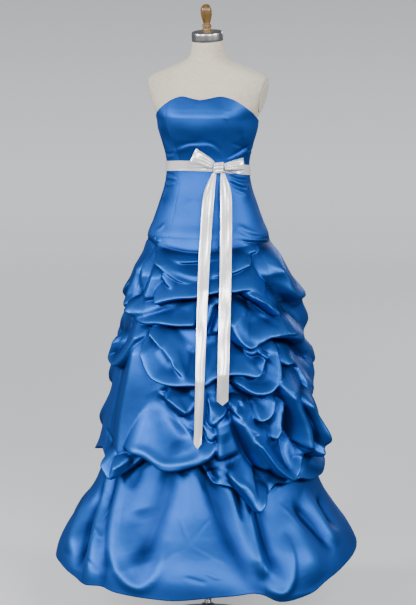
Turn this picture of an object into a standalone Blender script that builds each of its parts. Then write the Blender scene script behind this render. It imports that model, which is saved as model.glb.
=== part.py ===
"""A-line evening dress in royal blue satin, standing on its limbless dress form.

The dress is strapless. A long princess-seamed bodice reaches the hip, where a
pick-up overskirt and a plain a-line bottom skirt are sewn in. The overskirt is
tacked up in three tiers, so that it hangs in pouches and swags. A white ribbon
sash is tied in a bow with two long tails. Metres, +Z up, front towards -Y, and
+X is the wearer's left. The origin is on the floor, under the pole.
"""

import math

import bpy
import numpy as np

for leftover in list(bpy.data.objects):
    bpy.data.objects.remove(leftover)

MM = 0.001
CM = 0.01

# Driving sizes of the dress.
SATIN_WALL = 2 * MM
RIBBON_WALL = 1 * MM
SEAM_GAP = 0.3 * MM
HIP_SEAM_HEIGHT = 1.118
HEM_RADIUS = 0.433
NECKLINE_TURN = 5  # degrees that the bodice sits round towards the wearer's left
SASH_WIDTH = 27 * MM

# Driving sizes of the dress form and its stand.
NECK_TOP_HEIGHT = 1.6475
NECK_TILT = math.radians(9)
NECK_CENTRE_Y = -0.004
TORSO_BOTTOM_HEIGHT = 1.0
POLE_RADIUS = 9.75 * MM
FOOT_RADIUS = 0.18
FOOT_THICKNESS = 8 * MM
HUB_TOP_HEIGHT = 0.063

# The folds below are placed by where an observer sees them: the observer stands
# in front and a little towards the wearer's left.
SIGHT_TURN = math.radians(17)
SIGHT_DISTANCE = 5.0
SIGHT_HEIGHT = 1.63


# ---------------------------------------------------------------- curves and tables

def column(table, index):
    return np.array([row[index] for row in table], float)


def eased(x, xs, ys):
    """A smooth curve through the points (xs, ys): cubic pieces with limited slopes."""
    xs = np.asarray(xs, float)
    ys = np.asarray(ys, float)
    steps = np.diff(ys) / np.diff(xs)
    slopes = np.concatenate([steps[:1], (steps[:-1] + steps[1:]) / 2, steps[-1:]])
    turning = np.concatenate([[False], steps[:-1] * steps[1:] <= 0, [False]])
    slopes = np.where(turning, 0, slopes)
    x = np.clip(x, xs[0], xs[-1])
    i = np.clip(np.searchsorted(xs, x, side="right") - 1, 0, len(xs) - 2)
    width = xs[i + 1] - xs[i]
    t = (x - xs[i]) / width
    start = (1 + 2 * t) * (1 - t) ** 2 * ys[i] + t * (1 - t) ** 2 * width * slopes[i]
    end = t * t * (3 - 2 * t) * ys[i + 1] - t * t * (1 - t) * width * slopes[i + 1]
    return start + end


def curve_through(points, spacing):
    """Points every `spacing` along a smooth curve through a few points in a plane."""
    points = np.asarray(points, float)
    ends = np.vstack([2 * points[0] - points[1], points, 2 * points[-1] - points[-2]])
    pieces = []
    for before, start, end, after in zip(ends, ends[1:], ends[2:], ends[3:]):
        count = max(2, int(np.linalg.norm(end - start) / spacing))
        t = np.linspace(0, 1, count, endpoint=False)[:, None]
        pieces.append(
            0.5 * (2 * start + (end - before) * t
                   + (2 * before - 5 * start + 4 * end - after) * t ** 2
                   + (3 * start - before - 3 * end + after) * t ** 3)
        )
    pieces.append(points[-1:])
    return np.vstack(pieces)


def smooth_step(x):
    x = np.clip(x, 0, 1)
    return x * x * (3 - 2 * x)


# ---------------------------------------------------------------- the figure

# Level sections of the dress form, and how far the cloth's outer face stands off it.
FIGURE = [
    # height, half width, front depth, back depth, ease
    (1.000, 0.150, 0.118, 0.126, 0.020),
    (1.060, 0.153, 0.120, 0.130, 0.018),
    (1.118, 0.153, 0.122, 0.132, 0.0165),
    (1.160, 0.146, 0.116, 0.126, 0.0075),
    (1.205, 0.132, 0.107, 0.113, 0.0055),
    (1.260, 0.1160, 0.0920, 0.0910, 0.0048),
    (1.310, 0.1110, 0.0850, 0.0820, 0.0048),
    (1.340, 0.1150, 0.0890, 0.0835, 0.0048),
    (1.370, 0.1230, 0.0990, 0.0870, 0.0048),
    (1.410, 0.1340, 0.1130, 0.0915, 0.0054),
    (1.440, 0.1390, 0.1150, 0.0935, 0.0054),
    (1.460, 0.1500, 0.1090, 0.0945, 0.0054),
    (1.490, 0.1640, 0.0960, 0.0940, 0.0045),
    (1.520, 0.1740, 0.0840, 0.0890, 0.0045),
    (1.541, 0.1740, 0.0760, 0.0820, 0.0045),
    (1.554, 0.1600, 0.0710, 0.0760, 0.0045),
    (1.566, 0.1370, 0.0670, 0.0700, 0.0045),
    (1.578, 0.1060, 0.0630, 0.0640, 0.0045),
    (1.590, 0.0740, 0.0580, 0.0570, 0.0045),
    (1.603, 0.0540, 0.0520, 0.0500, 0.0045),
    (1.622, 0.0465, 0.0465, 0.0450, 0.0045),
    (1.6475, 0.0425, 0.0425, 0.0425, 0.0045),
]
BUST = {"height": 1.438, "tall": 0.042, "angle": 33, "wide": 21, "rise": 7 * MM}


def level(heights, name):
    index = ("height", "half width", "front", "back", "ease").index(name)
    return eased(heights, column(FIGURE, 0), column(FIGURE, index))


def figure_radius(angle, height):
    """Distance from the pole's line to the dress form, in the direction of an angle from the front."""
    half = level(height, "half width")
    deep = np.where(np.cos(angle) > 0, level(height, "front"), level(height, "back"))
    oval = 1 / np.sqrt((np.sin(angle) / half) ** 2 + (np.cos(angle) / deep) ** 2)
    away = np.degrees(np.arctan2(np.sin(angle), np.cos(angle)))
    sides = np.exp(-(((np.abs(away) - BUST["angle"]) / BUST["wide"]) ** 2))
    tall = np.exp(-(((height - BUST["height"]) / BUST["tall"]) ** 2))
    return oval + BUST["rise"] * sides * tall


def cloth_radius(angle, height):
    return figure_radius(angle, height) + level(height, "ease")


def ring_point(angle, radius, height):
    """Points at angles from the front, distances from the pole's line, and heights."""
    angle, radius, height = np.broadcast_arrays(angle, radius, height)
    return np.stack([radius * np.sin(angle), -radius * np.cos(angle), height], -1)


# ---------------------------------------------------------------- the bottom skirt's cone

SKIRT_PROFILE = [
    # height, outer radius of the bottom skirt before its folds
    (0.200, HEM_RADIUS),
    (0.250, 0.421),
    (0.300, 0.396),
    (0.350, 0.360),
    (0.400, 0.327),
    (0.450, 0.305),
    (0.500, 0.287),
    (0.600, 0.262),
    (0.700, 0.243),
    (0.800, 0.226),
    (0.900, 0.206),
    (1.000, 0.186),
    (1.060, 0.1735),
    (1.118, 0.1625),
]
LAYER_GAP = 0.5 * MM
EDGE_LIFT = 7.5 * MM  # how far the overskirt's lower edge stands off the bottom skirt
EDGE_STANDS_OFF = 66 * MM  # the lowest folds that show, off the bottom skirt
TUCKED_UNDER = 24 * MM  # cloth that goes on below them, out of sight


def skirt_radius(angle, height):
    """The bottom skirt's outer face: as oval as the hip at the top, round from half way down."""
    mean = eased(height, column(SKIRT_PROFILE, 0), column(SKIRT_PROFILE, 1))
    hip = cloth_radius(angle, HIP_SEAM_HEIGHT) - SATIN_WALL - LAYER_GAP
    top = SKIRT_PROFILE[-1]
    ovalness = smooth_step((height - 0.72) / (HIP_SEAM_HEIGHT - 0.72))
    return mean + ovalness * (hip - top[1])


# ---------------------------------------------------------------- folds

def seen(across, up, proud):
    """Angle and height where a sight line meets the skirt, `proud` metres outside its cone.

    `across` and `up` are where the line of sight crosses the upright plane that
    holds the pole and faces the observer.
    """
    across = np.asarray(across, float)
    up = np.asarray(up, float)
    towards = np.zeros_like(across)
    for _ in range(12):
        share = towards / SIGHT_DISTANCE
        side = across * (1 - share)
        height = up + share * (SIGHT_HEIGHT - up)
        turn = np.arctan2(side, np.maximum(towards, 1e-9))
        radius = skirt_radius(turn + SIGHT_TURN, height) + proud
        towards = np.sqrt(np.maximum(radius ** 2 - side ** 2, 0))
    return np.arctan2(side, towards) + SIGHT_TURN, height


# How far cloth that stands out also sinks, as a share of how far it stands out.
SAG = 0.45

# Each fold of the overskirt, as seen from the front: the height of its crest over
# the bottom skirt and of the crease under it in mm, how far the crease lies under
# the crest in mm, and the crest's line from left to right as (across, up) in cm.
# The crease is on the right-hand side of the way the line runs.
OVERSKIRT_FOLDS = [
    # name, crest, crease, under, line
    ("left hip tuck", 16, 6, 14, ((-17, 113.5), (-14.5, 110), (-10.5, 109), (-6.5, 107.5),
                                  (-2.5, 107), (2, 107), (7, 107.5), (12, 109), (16.5, 110))),
    ("right hip tuck", 18, 6, 12, ((5.5, 110), (9.5, 111.5), (13.5, 110), (17, 109.5))),
    ("first hip roll", 34, 10, 44, ((-17.5, 109), (-16, 106), (-11.5, 104.5), (-7, 104), (-3, 104),
                                    (1.5, 104), (7, 104.5), (12, 105.5), (16.5, 107), (19.5, 105.5))),
    ("pocket top edge", 34, 16, 16, ((-20.5, 107), (-18.5, 105.5), (-15.5, 105.5))),
    ("small hip loop", 30, 12, 14, ((6.5, 101.5), (9, 103), (11.5, 102.5), (14, 104), (17, 105.5))),
    ("left facet ridge", 52, 26, 30, ((-14.5, 103), (-14, 100), (-12, 97.5), (-9.5, 95.5), (-5.5, 94))),
    ("first pouch", 58, 8, 34, ((-18.5, 89), (-17, 91), (-14.5, 92), (-9, 93.5), (-3.5, 94.5),
                                (0.5, 95.5), (7, 95.5), (10.5, 96), (13.5, 95.5), (17, 93),
                                (20, 90.5), (22.5, 87))),
    ("left facet edge", 54, 36, 20, ((-18.5, 90), (-17, 93.5), (-16, 97.5), (-14.5, 102))),
    ("left pouch", 56, 10, 30, ((-24.5, 94.5), (-24, 91), (-23, 88.5), (-20.5, 86.5), (-18, 86.5),
                                (-12, 87), (-7, 86.5), (-3, 85.5), (-1, 85))),
    ("right star fold", 62, 40, 18, ((17.5, 100), (20, 96), (18.5, 92.5), (17, 93))),
    ("right corner", 74, 48, 24, ((21, 102), (24.5, 97.5), (27, 94))),
    ("right pouch", 74, 12, 32, ((9, 90), (9, 86.5), (10.5, 82), (12.5, 80), (15, 81), (17.5, 82.5),
                                 (22.5, 83.5), (27.5, 84.5), (30, 84))),
    ("left small roll", 52, 8, 26, ((-26.5, 84), (-28, 79), (-28, 76), (-27, 75), (-25.5, 75.5),
                                    (-23.5, 79), (-21.5, 82.5), (-18.5, 85))),
    ("left long fold", 44, 18, 26, ((-18, 85), (-14.5, 81), (-11.5, 77), (-8, 73), (-5, 70.5),
                                    (-2.5, 69.5))),
    ("second pouch", 56, 14, 24, ((-21, 82.5), (-18.5, 77), (-16, 73), (-14, 70.5), (-9, 69),
                                  (-3.5, 69), (-1, 69), (1.5, 70.5), (4.5, 71.5), (8.5, 71.5),
                                  (11.5, 69.5))),
    ("left facet point", 50, 22, 24, ((-14.5, 67.5), (-10.5, 65), (-6.5, 62), (-4, 60))),
    ("right pouch rim", 76, 16, 34, ((18, 82.5), (21, 82.5), (24, 82), (27.5, 80), (30.5, 78))),
    ("inner swag", 66, 30, 20, ((8.5, 79.5), (10, 75), (11.5, 72.5), (14, 71.5), (15.5, 73),
                                (17.5, 76.5), (18, 79.5), (18, 82))),
    ("outer swag", 70, 16, 30, ((8.5, 71), (12, 69.5), (13.5, 67.5), (16, 66.5), (18.5, 66.5),
                                (20.5, 69.5), (20.5, 72.5), (18.5, 78))),
    ("right flap edge", 66, 26, 24, ((21, 72.5), (23, 75), (25, 76), (26.5, 74.5), (27.5, 68.5))),
    ("left flap", 56, 12, 30, ((-33.5, 51.5), (-32.5, 47.5), (-30, 43), (-28, 44.5), (-28, 46.5),
                               (-25.5, 49))),
    ("third pouch", 66, 6, 26, ((-32.5, 51.5), (-29.5, 51.5), (-26, 51.5), (-22.5, 51), (-18.5, 50),
                                (-15, 48), (-12, 47), (-7.5, 46.5), (-1.5, 48.5), (1.5, 51),
                                (3, 54.5), (3, 57.5))),
    ("under lip", 40, 6, 16, ((-18, 47.5), (-17, 45), (-12, 44), (-7, 45), (-2, 47))),
    ("centre loop", 58, 34, 14, ((-2, 53), (-1, 52), (1, 52.5), (2, 54.5), (3, 57))),
    ("centre facet", 56, 30, 22, ((-5, 61.5), (-1.5, 58.5), (1, 56.5), (4, 59), (6.5, 63), (9, 65))),
    ("curved pocket", 44, 8, 18, ((-2, 46.5), (-1, 43), (0.5, 40.5), (3, 39.5), (5.5, 40))),
    ("cascade", 72, 6, 22, ((4, 43), (5.5, 41), (9, 39.5), (12, 37), (14, 34), (15, 32), (17, 32.5),
                            (18, 36), (21, 40.5))),
    ("cascade edge", 66, 40, 14, ((8.5, 61), (5.5, 59.5), (3.5, 56), (3.5, 50.5), (4, 44.5))),
    ("cascade fold", 74, 46, 20, ((8, 61), (10, 57.5), (13.5, 53), (16.5, 49), (19, 45), (21, 41))),
    ("big swag", 82, 14, 30, ((12.5, 56.5), (15, 53.5), (18, 50.5), (21.5, 45.5), (25, 43.5),
                              (27.5, 44), (29, 49.5), (29.5, 54.5), (27.5, 60.5), (25.5, 65.5))),
    ("swag inner edge", 66, 34, 22, ((20, 66), (20.5, 59), (19.5, 53.5), (17.5, 50.5))),
    ("swag small loop", 68, 36, 14, ((12, 59.5), (14.5, 58.5), (18, 60.5), (19.5, 62), (19.5, 65))),
    ("right lower edge", 76, 6, 26, ((21, 40), (25, 40.5), (28.5, 42))),
    ("right side flap", 86, 8, 26, ((25.5, 65.5), (30, 60), (33, 54), (34.5, 47.5), (32.5, 41.5))),
    ("right side edge", 84, 6, 24, ((32, 41), (35, 42.5), (37.5, 46), (38, 48.5))),
]

# Hollows of the overskirt, seen the same way: their height over the bottom skirt in mm.
OVERSKIRT_HOLLOWS = [
    # name, height, line
    ("left hip crease", 6, ((-16, 111.5), (-14.5, 108), (-12.5, 107))),
    ("left side hollow", 22, ((-20, 104), (-20, 97.5), (-21.5, 93.5))),
    ("left pouch hollow", 24, ((-22, 91.5), (-20.5, 89), (-17, 88.5), (-10.5, 91), (-3.5, 92.5))),
    ("centre crease", 10, ((3, 94.5), (1.5, 88), (-0.5, 82.5))),
    ("centre side", 30, ((1.5, 82), (-0.5, 76), (-1.5, 71))),
    ("right hollow", 30, ((10.5, 93.5), (14, 89), (18, 86), (20, 85))),
    ("right swag hollow", 26, ((15, 79), (14, 76), (11.5, 75.5))),
    ("left hollow one", 12, ((-19, 82.5), (-15.5, 77.5), (-12.5, 72.5))),
    ("left hollow two", 14, ((-16, 84), (-10.5, 81), (-5, 77.5), (-1.5, 79))),
    ("left dark side", 10, ((-25.5, 73), (-23, 76.5), (-21.5, 80))),
    ("right dark side", 20, ((22.5, 79), (25.5, 76), (29, 71))),
    ("centre tack", 8, ((8.5, 66.5), (9, 64.5), (8.5, 62.5))),
    ("right tack", 10, ((17.5, 82.5), (18.5, 82))),
    ("left tack", 8, ((-22, 82.5), (-20, 84), (-18.5, 85.5))),
    ("flap crease", 26, ((23, 73), (24.5, 68), (27, 62.5))),
    ("side flap crease", 20, ((29, 53), (30.5, 47.5), (32, 42.5))),
    ("cascade crease", 30, ((7, 60.5), (8.5, 55), (12, 49), (16.5, 44), (19.5, 40.5))),
    ("loop hollow", 20, ((15, 57), (16.5, 55), (15, 54))),
    ("swag hollow", 26, ((22, 50.5), (23.5, 47), (26, 47.5))),
    ("pocket hollow", 8, ((-1, 46.5), (0.5, 43.5), (2.5, 42.5))),
]

# The overskirt's lowest visible edge, from left to right, in cm.
OVERSKIRT_EDGE = (
    (-33.5, 51), (-30, 42.5), (-25, 44), (-20.5, 47.5), (-16.5, 45), (-12, 43.5), (-7, 44.5),
    (-2, 46), (0.5, 39.5), (4, 39), (9, 38), (13.5, 33), (16.5, 31.5), (18.5, 35.5), (21.5, 40),
    (25.5, 39.5), (29.5, 41.5), (32.5, 41), (36, 43), (38, 48),
)

# Folds of the bottom skirt under that edge, in or out of its cone in mm.
SKIRT_FOLDS = [
    # name, height, line
    ("left deep fold", -24, ((-29.5, 41), (-32, 35), (-34.5, 30), (-37.5, 14))),
    ("left edge ridge", 12, ((-31, 39.5), (-37.5, 28), (-42, 18.5))),
    ("left seam ridge", 10, ((-25, 42.5), (-28.5, 28), (-31, 12.5))),
    ("left cup rim", 16, ((-27, 30.5), (-26.5, 23), (-25, 15), (-22.5, 11.5), (-19.5, 10.5),
                          (-16.5, 12.5), (-14.5, 18), (-12, 28))),
    ("left cup hollow", -12, ((-22.5, 23.5), (-21.5, 16.5), (-19.5, 14.5))),
    ("front shade", -14, ((-10.5, 43.5), (-13.5, 35), (-16.5, 26.5), (-18, 19))),
    ("front plane", 12, ((-3.5, 42.5), (-3, 28), (-2.5, 8.5))),
    ("right crease one", -20, ((0.5, 38), (4, 30), (10, 21.5), (15, 11))),
    ("right ridge one", 10, ((5.5, 39.5), (9, 30.5), (12.5, 19))),
    ("seam ridge", 14, ((10, 38), (11.5, 30), (13.5, 21), (16, 13))),
    ("right crease two", -18, ((13, 33), (15.5, 25), (16.5, 15.5))),
    ("lip ridge", 22, ((18, 33.5), (19.5, 24), (19.5, 17.5), (18, 14.5), (16, 12.5))),
    ("lip hem", 20, ((16, 12.5), (18, 8.5), (20.5, 6.5))),
    ("right ridge two", 16, ((21.5, 38), (27.5, 26.5), (33.5, 13.5))),
    ("right crease four", -14, ((23, 39.5), (29.5, 28.5), (36.5, 18.5))),
    ("right ridge three", 12, ((26, 39.5), (33, 28), (40, 19))),
    ("right crease five", -14, ((31, 40), (37.5, 30.5), (42, 23.5))),
]

# The hem's line from left to right, in cm.
HEM_LINE = (
    (-43.5, 21.5), (-42, 18.5), (-37.5, 14), (-36, 12.5), (-31, 11.5), (-26.5, 9.5), (-19, 8),
    (-10, 7), (0.5, 8), (8, 8.5), (13.5, 9), (17, 8.5), (19.5, 6.5), (23.5, 7), (30, 9.5),
    (33.5, 13), (39, 18), (41.5, 21.5), (42.5, 25.5),
)


def to_back(angle, height):
    """The place on the back that answers one on the front: mirrored, then moved a little."""
    turn = math.pi - (angle - SIGHT_TURN)
    away = -np.cos(turn)
    turn = turn + math.radians(9) * away * np.abs(away)
    return turn + SIGHT_TURN, height + 0.022 * away * np.sin(2.5 * turn)


def wrapped(angle):
    return np.mod(angle + math.pi, 2 * math.pi) - math.pi


def all_round(line, proud):
    """Height of a seen line, such as a hem, as a smooth function of the angle all round."""
    across, up = np.array(line).T * CM
    angle, height = seen(across, up, proud)
    back_angle, back_height = to_back(angle[1:-1], height[1:-1])
    angles = np.concatenate([angle, back_angle])
    heights = np.concatenate([height, back_height])
    order = np.argsort(wrapped(angles))
    angles = wrapped(angles)[order]
    heights = heights[order]
    fine = np.linspace(-math.pi, math.pi, 361)
    values = np.interp(fine, angles, heights, period=2 * math.pi)
    for _ in range(6):
        values[:-1] = (np.roll(values[:-1], 1) + 2 * values[:-1] + np.roll(values[:-1], -1)) / 4
    values[-1] = values[0]
    return lambda angle: np.interp(wrapped(angle), fine, values)


hem_height = all_round(HEM_LINE, 0.0)
visible_edge = all_round(OVERSKIRT_EDGE, EDGE_STANDS_OFF)


def edge_height(angle):
    """Where the overskirt's cloth meets the bottom skirt, before the sag."""
    return visible_edge(angle) + SAG * EDGE_STANDS_OFF - TUCKED_UNDER


class Field:
    """Heights of folded cloth over a cone, on a grid of angles and of shares of the way down.

    The heights are those of a skin that is stretched over the crests and drawn
    into the creases: each grid point is the mean of its neighbours, or of what a
    fold says there. It is solved on coarse grids first, then on finer ones.
    """

    def __init__(self, columns, rows, top, bottom, first, last):
        self.columns = columns
        self.rows = rows
        self.top = top
        self.bottom = bottom
        self.first = first
        self.last = last
        self.marks = []

    def mark(self, angle, height, value, strength):
        share = (self.top(angle) - height) / (self.top(angle) - self.bottom(angle))
        inside = (share > 0.01) & (share < 0.99)
        parts = np.broadcast_arrays(angle, share, value, strength)
        self.marks.append(np.stack([part[inside] for part in parts]))

    def solve(self, passes, soft_along, soft_down):
        angle, share, value, strength = np.hstack(self.marks)
        grid = None
        for scale in (8, 4, 2, 1):
            columns = self.columns // scale
            rows = self.rows // scale + 1
            pull = np.zeros((rows, columns))
            wish = np.zeros((rows, columns))
            x = np.mod(angle / (2 * math.pi), 1) * columns
            y = share * (rows - 1)
            i = np.floor(x).astype(int)
            j = np.clip(np.floor(y).astype(int), 0, rows - 2)
            for right in (0, 1):
                for down in (0, 1):
                    part = np.abs(1 - right - (x - i)) * np.abs(1 - down - (y - j)) * strength
                    np.add.at(pull, (j + down, (i + right) % columns), part)
                    np.add.at(wish, (j + down, (i + right) % columns), part * value)
            if grid is None:
                grid = np.full((rows, columns), np.mean(value))
            else:
                old = np.arange(grid.shape[0]) / (grid.shape[0] - 1)
                new = np.arange(rows) / (rows - 1)
                grid = np.repeat(grid, 2, axis=1)
                grid = np.stack([np.interp(new, old, line) for line in grid.T], 1)
            for _ in range(passes):
                grid[0] = self.first
                grid[-1] = grid[-2] if self.last is None else self.last
                middle = grid[1:-1]
                near = grid[:-2] + grid[2:] + np.roll(middle, 1, 1) + np.roll(middle, -1, 1)
                grid[1:-1] = (near + wish[1:-1]) / (4 + pull[1:-1])
        for _ in range(soft_along):
            grid = (np.roll(grid, 1, 1) + 2 * grid + np.roll(grid, -1, 1)) / 4
        for _ in range(soft_down):
            grid[1:-1] = (grid[:-2] + 2 * grid[1:-1] + grid[2:]) / 4
        self.grid = grid

    def at(self, angle, share):
        rows, columns = self.grid.shape
        x = np.mod(angle / (2 * math.pi), 1) * columns
        y = np.clip(share, 0, 1) * (rows - 1)
        i = np.floor(x).astype(int)
        j = np.clip(np.floor(y).astype(int), 0, rows - 2)
        fx = x - i
        fy = y - j
        left = self.grid[j, i % columns] * (1 - fy) + self.grid[j + 1, i % columns] * fy
        right = self.grid[j, (i + 1) % columns] * (1 - fy) + self.grid[j + 1, (i + 1) % columns] * fy
        return left * (1 - fx) + right * fx


def fold_path(line, proud, sag):
    """A fold's line on the cone, before the sag, as angles and heights every 3 mm."""
    curve = curve_through(np.array(line) * CM, 3 * MM)
    angle, height = seen(curve[:, 0], curve[:, 1], proud)
    return angle, height + sag * proud


def lay_fold(field, line, crest, crease, under, sag):
    """Marks a crest, its round top and the crease under it, on the front and on the back."""
    angle, height = fold_path(line, crest, sag)
    radius = skirt_radius(angle, height)
    along = np.gradient(angle) * radius
    down = np.gradient(height)
    length = np.hypot(along, down) + 1e-9
    across_angle = down / length / radius
    across_height = -along / length
    t = np.linspace(0, 1, len(angle))
    fade = smooth_step(t / 0.12) * smooth_step((1 - t) / 0.12)
    for sides, value, strength in ((0, crest, 30), (-0.3 * under, crest * 0.93, 6), (under, crease, 12)):
        side_angle = angle + sides * across_angle
        side_height = height + sides * across_height
        field.mark(side_angle, side_height, value, 0.3 + strength * fade)
        back_angle, back_height = to_back(side_angle, side_height)
        field.mark(back_angle, back_height, value * 0.92, 0.3 + strength * fade)


def lay_line(field, line, value, strength, sag):
    angle, height = fold_path(line, value, sag)
    field.mark(angle, height, value, strength)
    back_angle, back_height = to_back(angle, height)
    field.mark(back_angle, back_height, value, strength)


def hip_line(angle):
    return np.full(np.shape(angle), HIP_SEAM_HEIGHT - SEAM_GAP)


def overskirt_field(columns, rows, soft_along, soft_down):
    top = SATIN_WALL + LAYER_GAP
    field = Field(columns, rows, hip_line, edge_height, top, top + EDGE_LIFT)
    for _, crest, crease, under, line in OVERSKIRT_FOLDS:
        lay_fold(field, line, crest * MM, crease * MM, under * MM, SAG)
    for _, height, line in OVERSKIRT_HOLLOWS:
        lay_line(field, line, height * MM, 12, SAG)
    field.solve(120, soft_along, soft_down)
    share = np.linspace(0, 1, field.grid.shape[0])[:, None]
    field.grid = np.maximum(field.grid, top + EDGE_LIFT * smooth_step(share / 0.2))
    return field


def skirt_field(columns, rows, soft_along, soft_down):
    top = lambda angle: edge_height(angle) - 2 * MM
    field = Field(columns, rows, top, hem_height, 0.0, None)
    for _, height, line in SKIRT_FOLDS:
        lay_line(field, line, height * MM, 12, 0)
    field.solve(120, soft_along, soft_down)
    return field


# ---------------------------------------------------------------- solids from grids of points

def material(name, colour, roughness, metallic=0.0):
    made = bpy.data.materials.new(name)
    made.use_nodes = True
    shader = made.node_tree.nodes["Principled BSDF"]
    shader.inputs["Base Color"].default_value = (*colour, 1)
    shader.inputs["Roughness"].default_value = roughness
    shader.inputs["Metallic"].default_value = metallic
    return made


def solid(name, points, faces, finish, sharp=50):
    mesh = bpy.data.meshes.new(name)
    mesh.from_pydata([tuple(point) for point in points], [], faces)
    mesh.shade_smooth()
    mesh.set_sharp_from_angle(angle=math.radians(sharp))
    mesh.materials.append(finish)
    piece = bpy.data.objects.new(name, mesh)
    bpy.context.scene.collection.objects.link(piece)
    return piece


def grid_normals(points, closed):
    """Unit normals of a grid of points. Rows run down and columns run to the wearer's left."""
    if closed:
        along = np.roll(points, -1, 1) - np.roll(points, 1, 1)
    else:
        along = np.gradient(points, axis=1)
    down = np.gradient(points, axis=0)
    normals = np.cross(down, along)
    return normals / np.linalg.norm(normals, axis=-1, keepdims=True)


def wall(name, outer, inner, finish, closed=False):
    """A closed wall between two grids of points. A closed wall's last column meets its first."""
    rows, columns = outer.shape[:2]
    count = rows * columns
    points = np.vstack([outer.reshape(-1, 3), inner.reshape(-1, 3)])
    faces = []
    spans = columns if closed else columns - 1

    def at(row, col, face):
        return face * count + row * columns + col % columns

    for row in range(rows - 1):
        for col in range(spans):
            # Both faces of the wall fold along the same diagonal, the shorter one, so that they never cross.
            quad = [(row, col), (row + 1, col), (row + 1, col + 1), (row, col + 1)]
            corners = [outer[r, c % columns] for r, c in quad]
            down_right = np.linalg.norm(corners[0] - corners[2])
            down_left = np.linalg.norm(corners[1] - corners[3])
            for triple in ((0, 1, 2), (0, 2, 3)) if down_right <= down_left else ((0, 1, 3), (1, 2, 3)):
                faces.append([at(*quad[i], 0) for i in triple])
                faces.append([at(*quad[i], 1) for i in reversed(triple)])
    for col in range(spans):
        faces.append([at(0, col, 0), at(0, col + 1, 0), at(0, col + 1, 1), at(0, col, 1)])
        last = rows - 1
        faces.append([at(last, col + 1, 0), at(last, col, 0), at(last, col, 1), at(last, col + 1, 1)])
    if not closed:
        # Both sides of a seam split their edge faces along the same diagonal, so that they stay apart.
        far = columns - 1
        for row in range(rows - 1):
            faces.append([at(row + 1, 0, 0), at(row, 0, 0), at(row, 0, 1)])
            faces.append([at(row + 1, 0, 0), at(row, 0, 1), at(row + 1, 0, 1)])
            faces.append([at(row, far, 0), at(row + 1, far, 0), at(row, far, 1)])
            faces.append([at(row + 1, far, 0), at(row + 1, far, 1), at(row, far, 1)])
    return solid(name, points, faces, finish)


def sewn_panels(names, seams, counts, rows, surface, finish):
    """Panels all round, cut along seams and SEAM_GAP apart.

    Seams are functions of the share of the way down that give degrees from the
    front. surface(angle, share) gives points of the outer face.
    """
    shares = np.asarray(rows)[:, None]
    edges = [np.radians(seam(shares[:, 0])) for seam in seams]
    edges.append(edges[0] + 2 * math.pi)
    angles = []
    for start, end, count in zip(edges, edges[1:], counts):
        part = np.arange(count) / count
        angles.append(start[:, None] + (end - start)[:, None] * part)
    outer = surface(np.hstack(angles), shares)
    normals = grid_normals(outer, closed=True)
    level_edges = normals[[0, -1]] * (1, 1, 0)
    normals[[0, -1]] = level_edges / np.linalg.norm(level_edges, axis=-1, keepdims=True)
    inner = outer - SATIN_WALL * normals
    start = 0
    for name, count in zip(names, counts):
        columns = np.arange(start, start + count + 1) % outer.shape[1]
        wall(name, cut_back(outer[:, columns]), cut_back(inner[:, columns]), finish)
        start += count


def cut_back(points):
    """The grid with its first and last columns drawn in by half a seam gap, along its own rows."""
    points = points.copy()
    for edge, beside in ((0, 1), (-1, -2)):
        inwards = points[:, beside] - points[:, edge]
        inwards /= np.linalg.norm(inwards, axis=-1, keepdims=True)
        points[:, edge] += inwards * SEAM_GAP / 2
    return points


def rings_solid(name, rings, finish, sharp=50):
    """A closed solid through rings of points, with flat ends. The first ring is the lowest."""
    rings = np.asarray(rings)
    rows, columns = rings.shape[:2]
    faces = [list(range(columns))[::-1], [(rows - 1) * columns + col for col in range(columns)]]
    for row in range(rows - 1):
        for col in range(columns):
            right = (col + 1) % columns
            faces.append([row * columns + col, row * columns + right,
                          (row + 1) * columns + right, (row + 1) * columns + col])
    return solid(name, rings.reshape(-1, 3), faces, finish, sharp)


def turned(name, profile, sides, finish, foot=(0, 0, 0), tilt=0.0, sharp=40):
    """A turned solid. The profile runs upwards as (radius, height) over the foot point."""
    turn = np.linspace(0, 2 * math.pi, sides, endpoint=False)
    rings = [ring_point(turn, radius, height) for radius, height in profile]
    points = np.array(rings)
    y = points[..., 1] * math.cos(tilt) - points[..., 2] * math.sin(tilt)
    z = points[..., 1] * math.sin(tilt) + points[..., 2] * math.cos(tilt)
    points = np.stack([points[..., 0], y, z], -1) + np.array(foot)
    return rings_solid(name, points, finish, sharp)


# ---------------------------------------------------------------- finishes

blue_satin = material("blue_satin", (0.030, 0.160, 0.560), 0.34)
bodice_satin = material("bodice_satin", (0.032, 0.170, 0.580), 0.33)
skirt_satin = material("skirt_satin", (0.034, 0.180, 0.600), 0.35)
white_satin = material("white_satin", (0.78, 0.80, 0.82), 0.38)
linen = material("linen", (0.58, 0.55, 0.47), 0.90)
chrome = material("chrome", (0.80, 0.80, 0.82), 0.15, 1.0)
turned_wood = material("turned_wood", (0.38, 0.20, 0.07), 0.35)
zip_metal = material("zip_metal", (0.10, 0.22, 0.55), 0.30, 0.8)


# ---------------------------------------------------------------- the dress form

TORSO_COLUMNS = 30
TORSO_LEVELS = (1.000, 1.010, 1.060, 1.110, 1.155, 1.195, 1.230, 1.260, 1.285, 1.310, 1.335,
                1.362, 1.392, 1.420, 1.440, 1.462, 1.490, 1.520, 1.541, 1.554, 1.566,
                1.578, 1.590, 1.603, 1.622, 1.6475)
ARM_FACE = {"top": (0.1665, 1.541), "bottom": (0.1425, 1.450), "wide": 62 * MM, "tall": 84 * MM,
            "thick": 2.5 * MM}


def arm_face_normal():
    """The outward normal, across and up, of the flat side where an arm would start."""
    run = np.subtract(ARM_FACE["top"], ARM_FACE["bottom"])
    return np.array([run[1], -run[0]]) / np.linalg.norm(run)


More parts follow.
